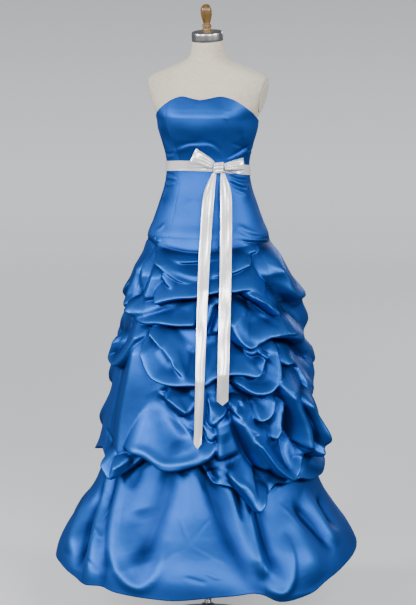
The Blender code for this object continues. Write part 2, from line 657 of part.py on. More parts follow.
def torso():
    share = np.linspace(0, 2 * math.pi, TORSO_COLUMNS, endpoint=False)
    normal = arm_face_normal()
    face = normal @ ARM_FACE["top"]
    rings = []
    for height in TORSO_LEVELS:
        half = level(height, "half width")
        deep = np.where(np.cos(share) > 0, level(height, "front"), level(height, "back"))
        angle = np.arctan2(half * np.sin(share), deep * np.cos(share))
        inset = 0.012 if height == TORSO_LEVELS[0] else 0
        ring = ring_point(angle, figure_radius(angle, height) - inset, height)
        beyond = normal[0] * np.abs(ring[:, 0]) + normal[1] * ring[:, 2] - face
        if height > 1.44:
            push = np.maximum(beyond, 0)
            ring[:, 0] -= np.sign(ring[:, 0]) * normal[0] * push
            ring[:, 2] -= normal[1] * push
        tilt = smooth_step((height - 1.60) / (NECK_TOP_HEIGHT - 1.60))
        ring[:, 1] += NECK_CENTRE_Y * tilt
        ring[:, 2] += (ring[:, 1] - NECK_CENTRE_Y) * math.tan(NECK_TILT) * tilt
        rings.append(ring)
    rings_solid("form_torso", rings, linen, sharp=70)


def arm_plate(name, side):
    """An oval plate, edges rounded, SEAM_GAP off the torso's flat side."""
    across, up = arm_face_normal()
    normal = np.array([side * across, 0, up])
    rise = np.array([-side * up, 0, across])
    middle = (np.add(ARM_FACE["top"], ARM_FACE["bottom"])) / 2
    centre = np.array([side * middle[0], 0.004, middle[1]]) + SEAM_GAP * normal
    turn = np.linspace(0, 2 * math.pi, 24, endpoint=False)
    depth = np.array([0, 1, 0]) * side
    rings = []
    for shrink, out in ((1.0, 0.0), (1.0, 0.6), (0.94, 1.0)):
        ring = (centre + normal * out * ARM_FACE["thick"]
                + np.cos(turn)[:, None] * depth * ARM_FACE["wide"] / 2 * shrink
                + np.sin(turn)[:, None] * rise * ARM_FACE["tall"] / 2 * shrink)
        rings.append(ring)
    rings_solid(name, rings, linen, sharp=60)


torso()
arm_plate("form_arm_plate_left", 1)
arm_plate("form_arm_plate_right", -1)

neck_axis = np.array([0, -math.sin(NECK_TILT), math.cos(NECK_TILT)])
neck_foot = np.array([0, NECK_CENTRE_Y, NECK_TOP_HEIGHT]) + SEAM_GAP * neck_axis
CAP_HEIGHT = 25 * MM
CAP_PROFILE = [
    # radius, height in mm: a chrome cap with a soft upper edge
    (42.5, 0), (42.8, 19), (41.8, 22.5), (39.5, 24.4), (36.0, 25.0),
]
FINIAL_PROFILE = [
    # radius, height in mm: a waisted foot, two rings and an egg
    (12.6, 0), (13.0, 3.0), (12.6, 7.0), (11.0, 9.2), (12.8, 12.5), (12.0, 17.5), (9.2, 21.0),
    (12.4, 26.0), (15.2, 31.5), (16.4, 38.0), (16.7, 43.2), (14.4, 52.0), (11.6, 59.0),
    (7.5, 65.0), (3.0, 68.5),
]
turned("form_neck_cap", np.array(CAP_PROFILE) * MM, 32, chrome, neck_foot, NECK_TILT)
finial_foot = neck_foot + (CAP_HEIGHT + SEAM_GAP) * neck_axis
turned("form_finial", np.array(FINIAL_PROFILE) * MM, 20, turned_wood, finial_foot, NECK_TILT)
STAND_PROFILE = [
    # radius, height: a flat foot with a hub, and the pole that stands in it
    (FOOT_RADIUS, 0), (FOOT_RADIUS, FOOT_THICKNESS - 2 * MM), (FOOT_RADIUS - 2 * MM, FOOT_THICKNESS),
    (0.034, FOOT_THICKNESS + 2 * MM), (0.026, 0.018), (0.021, 0.035), (0.0195, HUB_TOP_HEIGHT - 2 * MM),
    (0.0180, HUB_TOP_HEIGHT), (POLE_RADIUS, HUB_TOP_HEIGHT), (POLE_RADIUS, TORSO_BOTTOM_HEIGHT - SEAM_GAP),
]
turned("stand_pole_and_foot", STAND_PROFILE, 36, chrome)


# ---------------------------------------------------------------- the bodice

NECKLINE = [
    # degrees from the bodice's centre front, height
    (0, 1.4890), (12, 1.4925), (30, 1.4985), (45, 1.4890), (60, 1.4640), (75, 1.4440),
    (90, 1.4310), (120, 1.4120), (150, 1.4020), (180, 1.4000),
]
BODICE_SEAMS = [
    # share of the way down, side back right, side right, front right, front left, side left, side back left
    (0.00, -143, -92, -44, 37, 92, 143),
    (0.35, -146, -92, -38, 38, 92, 146),
    (0.50, -150, -92, -35, 37, 92, 150),
    (0.75, -154, -92, -32, 31, 92, 154),
    (1.00, -156, -92, -31, 27, 92, 156),
]
BODICE_PANELS = ("bodice_back_right", "bodice_side_back_right", "bodice_side_front_right",
                 "bodice_centre_front", "bodice_side_front_left", "bodice_side_back_left",
                 "bodice_back_left")
BODICE_COLUMNS = (4, 4, 6, 9, 6, 4, 4)
BODICE_ROWS = np.linspace(0, 1, 17)


def neckline(angle):
    away = np.abs(np.degrees(wrapped(angle - math.radians(NECKLINE_TURN))))
    return eased(away, column(NECKLINE, 0), column(NECKLINE, 1))


def bodice_surface(angle, share):
    height = neckline(angle) + (HIP_SEAM_HEIGHT - neckline(angle)) * share
    return ring_point(angle, cloth_radius(angle, height), height)


def bodice_seam(index):
    return lambda share: eased(share, column(BODICE_SEAMS, 0), column(BODICE_SEAMS, index))


bodice_seams = [lambda share: np.full(np.shape(share), -180.0)] + [bodice_seam(i) for i in range(1, 7)]
sewn_panels(BODICE_PANELS, bodice_seams, BODICE_COLUMNS, BODICE_ROWS, bodice_surface, bodice_satin)


# ---------------------------------------------------------------- the two skirts

folds = overskirt_field(288, 160, 5, 8)
skirt_folds = skirt_field(288, 96, 6, 6)


def overskirt_surface(angle, share):
    height = hip_line(angle) + (edge_height(angle) - hip_line(angle)) * share
    out = folds.at(angle, share)
    sunk = height - SAG * (out - SATIN_WALL - LAYER_GAP)
    return ring_point(angle, skirt_radius(angle, height) + out, sunk)


def skirt_surface(angle, share):
    height = hip_line(angle) + (hem_height(angle) - hip_line(angle)) * share
    top = edge_height(angle) - 2 * MM
    out = skirt_folds.at(angle, (top - height) / (top - hem_height(angle)))
    return ring_point(angle, skirt_radius(angle, height) + out, height)


def straight_seam(degrees):
    return lambda share: np.full(np.shape(share), float(degrees))


OVERSKIRT_PANELS = ("overskirt_side_right", "overskirt_front", "overskirt_side_left", "overskirt_back")
sewn_panels(OVERSKIRT_PANELS, [straight_seam(d) for d in (-114, -50, 66, 124)],
            (12, 31, 12, 18), np.linspace(0, 1, 23), overskirt_surface, blue_satin)
SKIRT_PANELS = ("skirt_back_right", "skirt_side_right", "skirt_front_gore", "skirt_side_left",
                "skirt_back_left")
SKIRT_ROWS = (0, 0.20, 0.40, 0.52, 0.60, 0.66, 0.71, 0.77, 0.84, 0.92, 1)
sewn_panels(SKIRT_PANELS, [straight_seam(d) for d in (-180, -100, -35, 38, 100)],
            (8, 9, 14, 9, 8), SKIRT_ROWS, skirt_surface, skirt_satin)


# ---------------------------------------------------------------- sash, bow and tails

SASH_ROWS = 3
SASH_GAP = 1.6 * MM
SASH_COLUMNS = 36
KNOT_ANGLE = math.radians(32)
KNOT = {"wide": 31 * MM, "tall": 28 * MM, "deep": 15 * MM, "seat": 1.3 * MM}


def sash_height(angle):
    """The sash dips a little at the back and on the wearer's left."""
    turn = angle - SIGHT_TURN
    return 1.300 + 0.010 * np.cos(turn) - 0.006 * np.sin(turn)


def sash():
    angle = np.linspace(-math.pi, math.pi, SASH_COLUMNS, endpoint=False)[None, :]
    drop = np.linspace(SASH_WIDTH / 2, -SASH_WIDTH / 2, SASH_ROWS)[:, None]
    height = sash_height(angle) + drop
    inner = ring_point(angle, cloth_radius(angle, height) + SASH_GAP, height)
    outer = inner + RIBBON_WALL * grid_normals(inner, closed=True)
    wall("sash_band", outer, inner, white_satin, closed=True)


def knot_frame():
    """Middle of the sash's outer face under the knot, and its outward and sideways directions."""
    height = float(sash_height(KNOT_ANGLE))
    radius = float(cloth_radius(np.array(KNOT_ANGLE), np.array(height))) + SASH_GAP + RIBBON_WALL
    middle = ring_point(KNOT_ANGLE, radius, height)
    outward = ring_point(KNOT_ANGLE, 1.0, 0.0)
    sideways = np.array([math.cos(KNOT_ANGLE), math.sin(KNOT_ANGLE), 0])
    return middle, outward, sideways


def bow_knot():
    middle, outward, sideways = knot_frame()
    turn = np.linspace(0, 2 * math.pi, 16, endpoint=False)
    rings = []
    for share in (-1, -0.9, -0.5, 0, 0.5, 0.9, 1):
        size = 1 - 0.2 * abs(share) ** 6
        across = np.sign(np.cos(turn)) * np.abs(np.cos(turn)) ** 0.7 * KNOT["wide"] / 2 * size
        out = (np.sin(turn) * 0.5 + 0.5) * KNOT["deep"] * (0.6 + 0.4 * size) + KNOT["seat"]
        up = np.full(turn.shape, share * KNOT["tall"] / 2)
        ring = middle + across[:, None] * sideways + out[:, None] * outward
        ring[:, 2] += up
        rings.append(ring)
    rings_solid("bow_knot", np.array(rings)[:, ::-1], white_satin, sharp=70)


def bow_loop(name, side, length, lift, end_width, gap):
    """A flat ribbon loop: out along the front, round, and back along the rear."""
    middle, outward, sideways = knot_frame()
    share = np.linspace(0.0, 1.0, 19)
    reach = (1 - np.cos(2 * math.pi * share)) / 2
    out = 12 * MM + (5.5 * np.sin(2 * math.pi * share) + 3.2 * np.cos(math.pi * share)) * MM
    direction = side * math.cos(lift) * sideways + np.array([0, 0, math.sin(lift)])
    width_way = np.cross(direction, outward) * side
    start = KNOT["wide"] / 2 / math.cos(lift) + gap
    spine = middle + (start + reach[:, None] * length) * direction + out[:, None] * outward
    width = 15 * MM + (end_width - 15 * MM) * np.sin(math.pi * share) ** 0.8
    wide = np.linspace(-0.5, 0.5, 4)
    outer = spine[None] + wide[:, None, None] * width[None, :, None] * width_way
    normals = grid_normals(outer, closed=False)
    inner = outer - RIBBON_WALL * normals
    wall(name, outer, inner, white_satin)


TAIL_SHARES = (0, 0.065, 0.15, 1)  # how far down a tail's middle line and width are given
TAIL_POINT = 12 * MM


def tail_path(across_line, end_height, start_height, start_out):
    """A ribbon tail's middle line: it rests on the folds that stand out, and bridges the hollows."""
    angle = np.linspace(-0.9, 0.9, 121)[None, :] + SIGHT_TURN
    heights = np.linspace(start_height, end_height, 90)
    grid = np.concatenate([
        bodice_surface(angle, np.linspace(0.4, 1, 60)[:, None]),
        overskirt_surface(angle, np.linspace(0, 1, 220)[:, None]),
    ])
    towards = np.array([math.sin(SIGHT_TURN), -math.cos(SIGHT_TURN), 0])
    across_way = np.array([math.cos(SIGHT_TURN), math.sin(SIGHT_TURN), 0])
    across = grid @ across_way
    depth = grid @ towards
    up = grid[..., 2]
    share = (start_height - heights) / (start_height - end_height)
    middle = eased(share, TAIL_SHARES, across_line)
    front = np.zeros(len(heights))
    for i, (height, centre) in enumerate(zip(heights, middle)):
        near = (np.abs(up - height) < 10 * MM) & (np.abs(across - centre) < 22 * MM)
        front[i] = depth[near].max() if near.any() else front[i - 1]
    front[0] = max(front[0] + 5 * MM, start_out)
    bridge = front.copy()
    for i in range(len(heights)):
        for j in range(i + 2, len(heights)):
            between = np.arange(i + 1, j)
            chord = front[i] + (front[j] - front[i]) * (between - i) / (j - i)
            bridge[between] = np.maximum(bridge[between], chord)
    for _ in range(4):
        bridge[1:-1] = np.maximum(bridge[1:-1], (bridge[:-2] + bridge[2:]) / 2)
    bridge = bridge + 4 * MM
    return (middle[:, None] * across_way + bridge[:, None] * towards
            + heights[:, None] * np.array([0, 0, 1])), across_way


def tail(name, across_line, end_height, widths):
    middle, outward, _ = knot_frame()
    start = middle[2] - KNOT["tall"] / 2 - SEAM_GAP
    towards = np.array([math.sin(SIGHT_TURN), -math.cos(SIGHT_TURN), 0])
    start_out = middle @ towards + 6 * MM
    path, across_way = tail_path(across_line, end_height, start, start_out)
    path = path[::4]
    share = np.linspace(0, 1, len(path))
    width = eased(share, TAIL_SHARES, widths)
    wide = np.linspace(-0.5, 0.5, 3)
    outer = path[:, None] + wide[None, :, None] * width[:, None, None] * across_way
    outer[-1, :, 2] += np.abs(wide) * 2 * TAIL_POINT
    normals = grid_normals(outer, closed=False)
    wall(name, outer, outer - RIBBON_WALL * normals, white_satin)


sash()
bow_knot()
bow_loop("bow_loop_right", -1, 61 * MM, math.radians(33), 33 * MM, 0.8 * MM)
bow_loop("bow_loop_left", 1, 56 * MM, math.radians(3), 36 * MM, 0.5 * MM)
tail("bow_tail_right", (0.017, 0.004, -0.0025, -0.0275), 0.585, (0.012, 0.031, 0.032, 0.020))
tail("bow_tail_left", (0.039, 0.046, 0.0485, 0.038), 0.694, (0.012, 0.030, 0.032, 0.030))


# ---------------------------------------------------------------- the zip at the centre back

ZIP_TOP = 1.392
SLIDER = {"wide": 6 * MM, "deep": 2 * MM, "tall": 8 * MM}
EAR = {"inner": 1.6 * MM, "outer": 2.7 * MM, "reach": 5.7 * MM, "tall": 3.2 * MM}
CROSSBAR = {"radius": 0.6 * MM, "out": 4.7 * MM}
PULL = {"eye": 1.9 * MM, "hole": 0.95 * MM, "neck": 2.6 * MM, "wide": 6 * MM, "long": 19 * MM,
        "thick": 1 * MM}
zip_face = float(cloth_radius(np.array(math.pi), np.array(ZIP_TOP))) + SEAM_GAP
pivot = (0.0, zip_face + CROSSBAR["out"], ZIP_TOP - SLIDER["tall"] / 2)


def box(name, low, high, finish):
    corners = [(x, y, z) for x in (low[0], high[0]) for y in (low[1], high[1]) for z in (low[2], high[2])]
    faces = [(0, 1, 3, 2), (4, 6, 7, 5), (0, 4, 5, 1), (2, 3, 7, 6), (0, 2, 6, 4), (1, 5, 7, 3)]
    return solid(name, corners, faces, finish)


def rod_along_x(name, radius, half, sides, finish):
    turn = np.linspace(0, 2 * math.pi, sides, endpoint=False)
    y = pivot[1] + radius * np.cos(turn)
    z = pivot[2] + radius * np.sin(turn)
    rings = [np.stack([np.full(sides, x), y, z], 1) for x in (-half, half)]
    return rings_solid(name, rings, finish)


def combine(piece, helper, operation):
    """A live Boolean with a helper shape that isn't part of the dress."""
    helper.hide_render = True
    helper.display_type = "WIRE"
    modifier = piece.modifiers.new(helper.name, "BOOLEAN")
    modifier.operation = operation
    modifier.object = helper


def zip_slider():
    low = (-SLIDER["wide"] / 2, zip_face, ZIP_TOP - SLIDER["tall"])
    high = (SLIDER["wide"] / 2, zip_face + SLIDER["deep"], ZIP_TOP)
    slider = box("zip_slider", low, high, zip_metal)
    for side, name in ((-1, "right"), (1, "left")):
        edges = sorted((side * EAR["inner"], side * EAR["outer"]))
        ear_low = (edges[0], zip_face + SLIDER["deep"] / 2, pivot[2] - EAR["tall"] / 2)
        ear_high = (edges[1], zip_face + EAR["reach"], pivot[2] + EAR["tall"] / 2)
        ear = box(f"slider_ear_{name}", ear_low, ear_high, zip_metal)
        combine(slider, ear, "UNION")
    crossbar = rod_along_x("slider_crossbar", CROSSBAR["radius"], EAR["inner"] + 0.5 * MM, 12, zip_metal)
    combine(slider, crossbar, "UNION")


def zip_pull():
    half_neck = PULL["neck"] / 2
    half_wide = PULL["wide"] / 2
    half_thick = PULL["thick"] / 2
    outline = [(half_neck, 0), (half_neck, -5 * MM), (half_wide, -10 * MM),
               (half_wide, 2.5 * MM - PULL["long"]), (half_neck, -PULL["long"])]
    outline = outline + [(-x, z) for x, z in reversed(outline)]
    rings = [[(x, pivot[1] + y, pivot[2] + z) for x, z in outline] for y in (half_thick, -half_thick)]
    pull = rings_solid("zip_pull", rings, zip_metal)
    combine(pull, rod_along_x("pull_eye", PULL["eye"], half_neck + 0.001 * MM, 20, zip_metal), "UNION")
    combine(pull, rod_along_x("pull_hole", PULL["hole"], half_neck + 1 * MM, 16, zip_metal), "DIFFERENCE")


zip_slider()
zip_pull()
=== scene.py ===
"""Looks for the blue satin evening dress on its dress form: cloth, folds, ribbon, seams, form and studio.

Everything is in metres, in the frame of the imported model: +Z up, front towards
-Y, +X is the wearer's left. Angles run from the front towards the wearer's left.
"""

import math

import bpy
import numpy as np
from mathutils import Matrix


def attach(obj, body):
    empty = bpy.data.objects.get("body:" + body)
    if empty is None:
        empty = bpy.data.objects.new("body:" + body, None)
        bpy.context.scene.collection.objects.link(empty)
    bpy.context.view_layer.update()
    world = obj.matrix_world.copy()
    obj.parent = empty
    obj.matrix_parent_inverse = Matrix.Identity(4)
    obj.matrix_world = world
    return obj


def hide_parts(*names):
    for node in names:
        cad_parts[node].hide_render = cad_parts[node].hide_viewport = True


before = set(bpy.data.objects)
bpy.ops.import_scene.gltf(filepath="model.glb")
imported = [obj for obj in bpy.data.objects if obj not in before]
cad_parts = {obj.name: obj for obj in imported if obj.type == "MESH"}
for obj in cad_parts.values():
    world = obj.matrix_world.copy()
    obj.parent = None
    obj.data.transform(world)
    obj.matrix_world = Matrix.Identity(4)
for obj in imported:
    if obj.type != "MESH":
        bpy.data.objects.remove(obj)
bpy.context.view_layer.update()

# ---------------------------------------------------------------- camera, floor and lights
# The camera looks at the pole's line from 5 m away, a little to the wearer's left.
# The floor turns up into a wall all round, and broad soft lights stand on it.

SIGHT_TURN = math.radians(17)
SIGHT_DISTANCE = 5.0
SIGHT_HEIGHT = 1.63
SIGHT_PITCH = math.radians(8)
TOWARDS = np.array([math.sin(SIGHT_TURN), -math.cos(SIGHT_TURN), 0])  # from the pole to the observer
ACROSS = np.array([math.cos(SIGHT_TURN), math.sin(SIGHT_TURN), 0])  # to the observer's right
WARM_WHITE = (1.0, 0.98, 0.96)
FLOOR_RADIUS = 11
FLOOR_BEND = 3
WALL_TOP = 12


def placed(name, data, at, aim=None):
    """An object at a point, turned so that its own -Z looks at the aim."""
    thing = bpy.data.objects.new(name, data)
    bpy.context.scene.collection.objects.link(thing)
    thing.location = at
    if aim is not None:
        x, y, z = np.subtract(aim, at)
        thing.rotation_euler = (math.atan2(math.hypot(x, y), -z), 0, math.atan2(-x, y))
    return thing


def soft_light(name, across, towards, height, aim, size, power, colour=WARM_WHITE):
    """A square light, placed across the camera's view and towards the camera from the pole."""
    lamp = bpy.data.lights.new(name, "AREA")
    lamp.size = size
    lamp.energy = power
    lamp.color = colour
    return placed(name, lamp, across * ACROSS + towards * TOWARDS + (0, 0, height), (0, 0, aim))


camera = bpy.data.cameras.new("camera")
camera.sensor_fit = "VERTICAL"
camera.sensor_height = 36
camera.lens = 108.2
bpy.context.scene.camera = placed(
    "camera", camera, SIGHT_DISTANCE * TOWARDS + (0, 0, SIGHT_HEIGHT),
    (0, 0, SIGHT_HEIGHT - SIGHT_DISTANCE * math.tan(SIGHT_PITCH)))

soft_light("far left", -4.6, 1.4, 3.0, 0.8, 1.2, 215)
soft_light("left", -2.4, 4.0, 3.0, 0.8, 1.4, 180)
soft_light("key", 1.3, 4.6, 3.0, 0.8, 1.4, 165)
soft_light("right", 4.2, 2.4, 3.0, 0.8, 1.2, 175)
soft_light("back", 3.2, -5.5, 3.2, 0.9, 2.0, 60, (1.0, 1.0, 1.0))

world = bpy.data.worlds.new("studio")
bpy.context.scene.world = world
world.use_nodes = True
world.node_tree.nodes["Background"].inputs["Color"].default_value = (0.80, 0.82, 0.86, 1)
world.node_tree.nodes["Background"].inputs["Strength"].default_value = 0.15


class Value:
    """A node's output that adds and multiplies as a number does."""

    def __init__(self, paint, socket):
        self.paint = paint
        self.socket = socket

    def __add__(self, other):
        return self.paint.sum("ADD", self, other)

    def __mul__(self, other):
        return self.paint.sum("MULTIPLY", self, other)

    __radd__ = __add__
    __rmul__ = __mul__


class Paint:
    """A procedural material in the making."""

    def __init__(self, name, colour, roughness, **settings):
        self.material = bpy.data.materials.new(name)
        self.material.use_nodes = True
        self.tree = self.material.node_tree
        self.shader = self.tree.nodes["Principled BSDF"]
        self.put(self.shader, {"Base Color": (*colour, 1), "Roughness": roughness, **settings})

    def put(self, node, inputs):
        for key, value in inputs.items():
            if isinstance(value, Value):
                self.tree.links.new(value.socket, node.inputs[key])
            else:
                node.inputs[key].default_value = value

    def node(self, kind, inputs, output=0, **settings):
        """Makes a node, sets it up, joins its inputs and returns one output."""
        made = self.tree.nodes.new("ShaderNode" + kind)
        for key, value in settings.items():
            setattr(made, key, value)
        self.put(made, inputs)
        return Value(self, made.outputs[output])

    def sum(self, operation, *terms):
        return self.node("Math", dict(enumerate(terms)), operation=operation)

    def place(self, kind="Object"):
        """Where a point is: in the object's metres, or in the cloth's own metres (UV)."""
        return self.node("TexCoord", {}, output=kind)

    def stretched(self, vector, scale):
        return self.node("Mapping", {"Vector": vector, "Scale": scale})

    def noise(self, vector, scale, detail=3.0, rough=0.5):
        inputs = {"Vector": vector, "Scale": scale, "Detail": detail, "Roughness": rough}
        return self.node("TexNoise", inputs)

    def ramp(self, value, low, high, start=0.0, end=1.0):
        """A straight rise from start to end as the value goes from low to high."""
        inputs = {"Value": value, "From Min": low, "From Max": high, "To Min": start, "To Max": end}
        return self.node("MapRange", inputs)

    def mix(self, factor, first, second):
        """The first colour at factor 0 and the second at 1. A colour is three numbers or a value."""
        colours = [(*colour, 1) if isinstance(colour, tuple) else colour for colour in (first, second)]
        return self.node("Mix", {0: factor, 6: colours[0], 7: colours[1]}, output=2, data_type="RGBA")

    def bump(self, height, distance, strength):
        """Relief whose height is in units of the distance, in metres."""
        return self.node("Bump", {"Height": height, "Distance": distance, "Strength": strength})

    def finish(self, **inputs):
        self.put(self.shader, {key.replace("_", " "): value for key, value in inputs.items()})
        return self.material


def studio_paint():
    """Matt pale paper that glows, a painted light: paler behind the form, with painted shade near it and
    high up the wall.
    """
    paint = Paint("studio_paper", (0.60, 0.61, 0.63), 0.85)
    place = paint.place()
    away = paint.node("VectorMath", {0: place}, output=1, operation="LENGTH")
    up = paint.node("SeparateXYZ", {"Vector": place}, output=2)
    # Painted light: the paper's glow, dimmer near the form and high up the wall as painted shade.
    glow = paint.mix(paint.ramp(away, 2.5, 10.0), (0.42, 0.43, 0.45), (0.80, 0.81, 0.86))
    glow = paint.mix(paint.ramp(up, 0.4, 2.2), glow, (0.46, 0.47, 0.49))
    paint.put(paint.shader, {"Emission Strength": 0.86})
    grain = paint.noise(place, 60.0)
    return paint.finish(Emission_Color=glow, Normal=paint.bump(grain, 0.0004, 0.3))


def mesh_piece(name, points, faces, paint, uv=None, sharp=None, sunk=None):
    """A smooth mesh from an array of points and an array of faces with one count of corners.

    `sharp` is the angle in degrees over which an edge is sharp, and `sunk` a depth for each point, by which
    the satin paints shade in hollows and a highlight on crests."""
    faces = np.asarray(faces, np.int32)
    points = np.asarray(points, np.float32).reshape(-1, 3)
    mesh = bpy.data.meshes.new(name)
    mesh.vertices.add(len(points))
    mesh.vertices.foreach_set("co", points.ravel())
    mesh.loops.add(faces.size)
    mesh.loops.foreach_set("vertex_index", faces.ravel())
    mesh.polygons.add(len(faces))
    mesh.polygons.foreach_set("loop_start", np.arange(0, faces.size, faces.shape[1], dtype=np.int32))
    mesh.update(calc_edges=True)
    mesh.validate()
    mesh.shade_smooth()
    if sharp is not None:
        mesh.set_sharp_from_angle(angle=math.radians(sharp))
    if uv is not None:
        layer = mesh.uv_layers.new(name="cloth")
        layer.data.foreach_set("uv", np.asarray(uv, np.float32).reshape(-1, 2)[faces.ravel()].ravel())
    if sunk is not None:
        depths = mesh.attributes.new("sunk", "FLOAT", "POINT")
        depths.data.foreach_set("value", np.asarray(sunk, np.float32).ravel())
    mesh.materials.append(paint)
    piece = bpy.data.objects.new(name, mesh)
    bpy.context.scene.collection.objects.link(piece)
    return piece


def grid_faces(rows, columns, closed=False):
    """The quads of a grid whose rows run down and whose columns run to the wearer's left."""
    spans = columns if closed else columns - 1
    row = np.arange(rows - 1)[:, None]
    left = np.arange(spans)[None, :]
    right = (left + 1) % columns
    corners = [row * columns + left, (row + 1) * columns + left,
               (row + 1) * columns + right, row * columns + right]
    return np.stack(np.broadcast_arrays(*corners), -1).reshape(-1, 4)


def ring_point(angle, radius, height):
    """Points at angles from the front, distances from the pole's line, and heights."""
    angle, radius, height = np.broadcast_arrays(angle, radius, height)
    return np.stack([radius * np.sin(angle), -radius * np.cos(angle), height], -1)


def studio():
    """A round floor that turns up into a wall through a quarter circle."""
    turn = np.linspace(0, 2 * math.pi, 96, endpoint=False)[None, :]
    bend = np.linspace(0, math.pi / 2, 24)
    radius = [[0.001, 1, 3, 5, 8], FLOOR_RADIUS + FLOOR_BEND * np.sin(bend), [FLOOR_RADIUS + FLOOR_BEND]]
    height = [np.zeros(5), FLOOR_BEND - FLOOR_BEND * np.cos(bend), [WALL_TOP]]
    points = ring_point(turn, np.concatenate(radius)[:, None], np.concatenate(height)[:, None])
    floor = mesh_piece("studio_floor", points, grid_faces(*points.shape[:2], closed=True), studio_paint())
    floor.visible_diffuse = False
    floor.visible_glossy = False


studio()


# ---------------------------------------------------------------- the figure and the dress form's torso
# A linen-covered padded torso: level sections through a short table, a fuller bust, flat
# arm places and a neck that leans back a little. The cloth of the bodice stands off it.

MM = 0.001
FIGURE = [
    # height, half width, front depth, back depth, ease
    (1.000, 0.150, 0.118, 0.126, 0.020),
    (1.060, 0.153, 0.120, 0.130, 0.018),
    (1.118, 0.153, 0.122, 0.132, 0.0165),
    (1.160, 0.146, 0.116, 0.126, 0.0075),
    (1.205, 0.132, 0.107, 0.113, 0.0055),
    (1.260, 0.1160, 0.0920, 0.0910, 0.0048),
    (1.310, 0.1110, 0.0850, 0.0820, 0.0048),
    (1.340, 0.1150, 0.0890, 0.0835, 0.0048),
    (1.370, 0.1230, 0.0990, 0.0870, 0.0048),
    (1.410, 0.1340, 0.1130, 0.0915, 0.0054),
    (1.440, 0.1390, 0.1150, 0.0935, 0.0054),
    (1.460, 0.1500, 0.1090, 0.0945, 0.0054),
    (1.490, 0.1640, 0.0960, 0.0940, 0.0045),
    (1.520, 0.1740, 0.0840, 0.0890, 0.0045),
    (1.541, 0.1740, 0.0760, 0.0820, 0.0045),
    (1.554, 0.1600, 0.0710, 0.0760, 0.0045),
    (1.566, 0.1370, 0.0670, 0.0700, 0.0045),
    (1.578, 0.1060, 0.0630, 0.0640, 0.0045),
    (1.590, 0.0740, 0.0580, 0.0570, 0.0045),
    (1.603, 0.0540, 0.0520, 0.0500, 0.0045),
    (1.622, 0.0465, 0.0465, 0.0450, 0.0045),
    (1.6475, 0.0425, 0.0425, 0.0425, 0.0045),
]
BUST = {"height": 1.438, "tall": 0.042, "angle": 33, "wide": 21, "rise": 7 * MM}
NECK_TOP_HEIGHT = 1.6475
NECK_TILT = math.radians(9)
NECK_CENTRE_Y = -0.004
NECK_LEAN_START = 1.60
NECK_SEAM_HEIGHT = 1.612
TORSO_BOTTOM_HEIGHT = 1.0
TORSO_SEAMS = (0, 180, 62, -62)  # degrees
ARM_FACE = {"top": (0.1665, 1.541), "bottom": (0.1425, 1.450), "wide": 62 * MM, "tall": 84 * MM,
            "thick": 2.5 * MM, "flat from": 1.44}


def column(table, index):
    return np.array([row[index] for row in table], float)


def eased(x, xs, ys):
    """A smooth curve through the points (xs, ys): cubic pieces with limited slopes."""
    xs = np.asarray(xs, float)
    ys = np.asarray(ys, float)
    steps = np.diff(ys) / np.diff(xs)
    slopes = np.concatenate([steps[:1], (steps[:-1] + steps[1:]) / 2, steps[-1:]])
    slopes = np.where(np.concatenate([[False], steps[:-1] * steps[1:] <= 0, [False]]), 0, slopes)
    x = np.clip(x, xs[0], xs[-1])
    i = np.clip(np.searchsorted(xs, x, side="right") - 1, 0, len(xs) - 2)
    width = xs[i + 1] - xs[i]
    t = (x - xs[i]) / width
    start = (1 + 2 * t) * (1 - t) ** 2 * ys[i] + t * (1 - t) ** 2 * width * slopes[i]
    end = t * t * (3 - 2 * t) * ys[i + 1] - t * t * (1 - t) * width * slopes[i + 1]
    return start + end


def smooth_step(x):
    x = np.clip(x, 0, 1)
    return x * x * (3 - 2 * x)


def bell(x, width):
    """1 where x is 0, falling to 1/e at a width from there."""
    return np.exp(-((x / width) ** 2))


def level(heights, name):
    index = ("height", "half width", "front", "back", "ease").index(name)
    return eased(heights, column(FIGURE, 0), column(FIGURE, index))


def figure_radius(angle, height):
    """Distance from the pole's line to the torso: an ellipse, and a bell over each breast."""
    half = level(height, "half width")
    deep = np.where(np.cos(angle) > 0, level(height, "front"), level(height, "back"))
    oval = 1 / np.sqrt((np.sin(angle) / half) ** 2 + (np.cos(angle) / deep) ** 2)
    away = np.degrees(np.arctan2(np.sin(angle), np.cos(angle)))
    sides = bell(np.abs(away) - BUST["angle"], BUST["wide"])
    tall = bell(height - BUST["height"], BUST["tall"])
    return oval + BUST["rise"] * sides * tall


def cloth_radius(angle, height):
    """The torso's radius and the bodice's ease over it."""
    return figure_radius(angle, height) + level(height, "ease")


def linen_paint():
    """Cream linen: an uneven plain weave with slubs, and faint wear and dust in its colour."""
    paint = Paint("linen_cover", (0.56, 0.51, 0.42), 0.9)
    place = paint.place()
    slubs = paint.noise(paint.stretched(place, (60, 60, 900)), 1.0, 2.0)
    threads = paint.noise(paint.stretched(place, (900, 900, 80)), 1.0, 2.0)
    cloud = paint.noise(place, 9.0, 4.0)
    tone = paint.mix(paint.ramp(cloud, 0.3, 0.7), (0.49, 0.44, 0.345), (0.60, 0.55, 0.455))
    tone = paint.mix(paint.ramp(slubs * threads, 0.18, 0.36), tone, (0.66, 0.61, 0.52))
    weave = paint.bump(slubs + threads, 0.0005, 0.6)
    return paint.finish(Base_Color=tone, Normal=weave, Sheen_Weight=0.3)


def arm_normal():
    """How far across and up a flat arm place faces."""
    run = np.subtract(ARM_FACE["top"], ARM_FACE["bottom"])
    return np.array([run[1], -run[0]]) / np.linalg.norm(run)


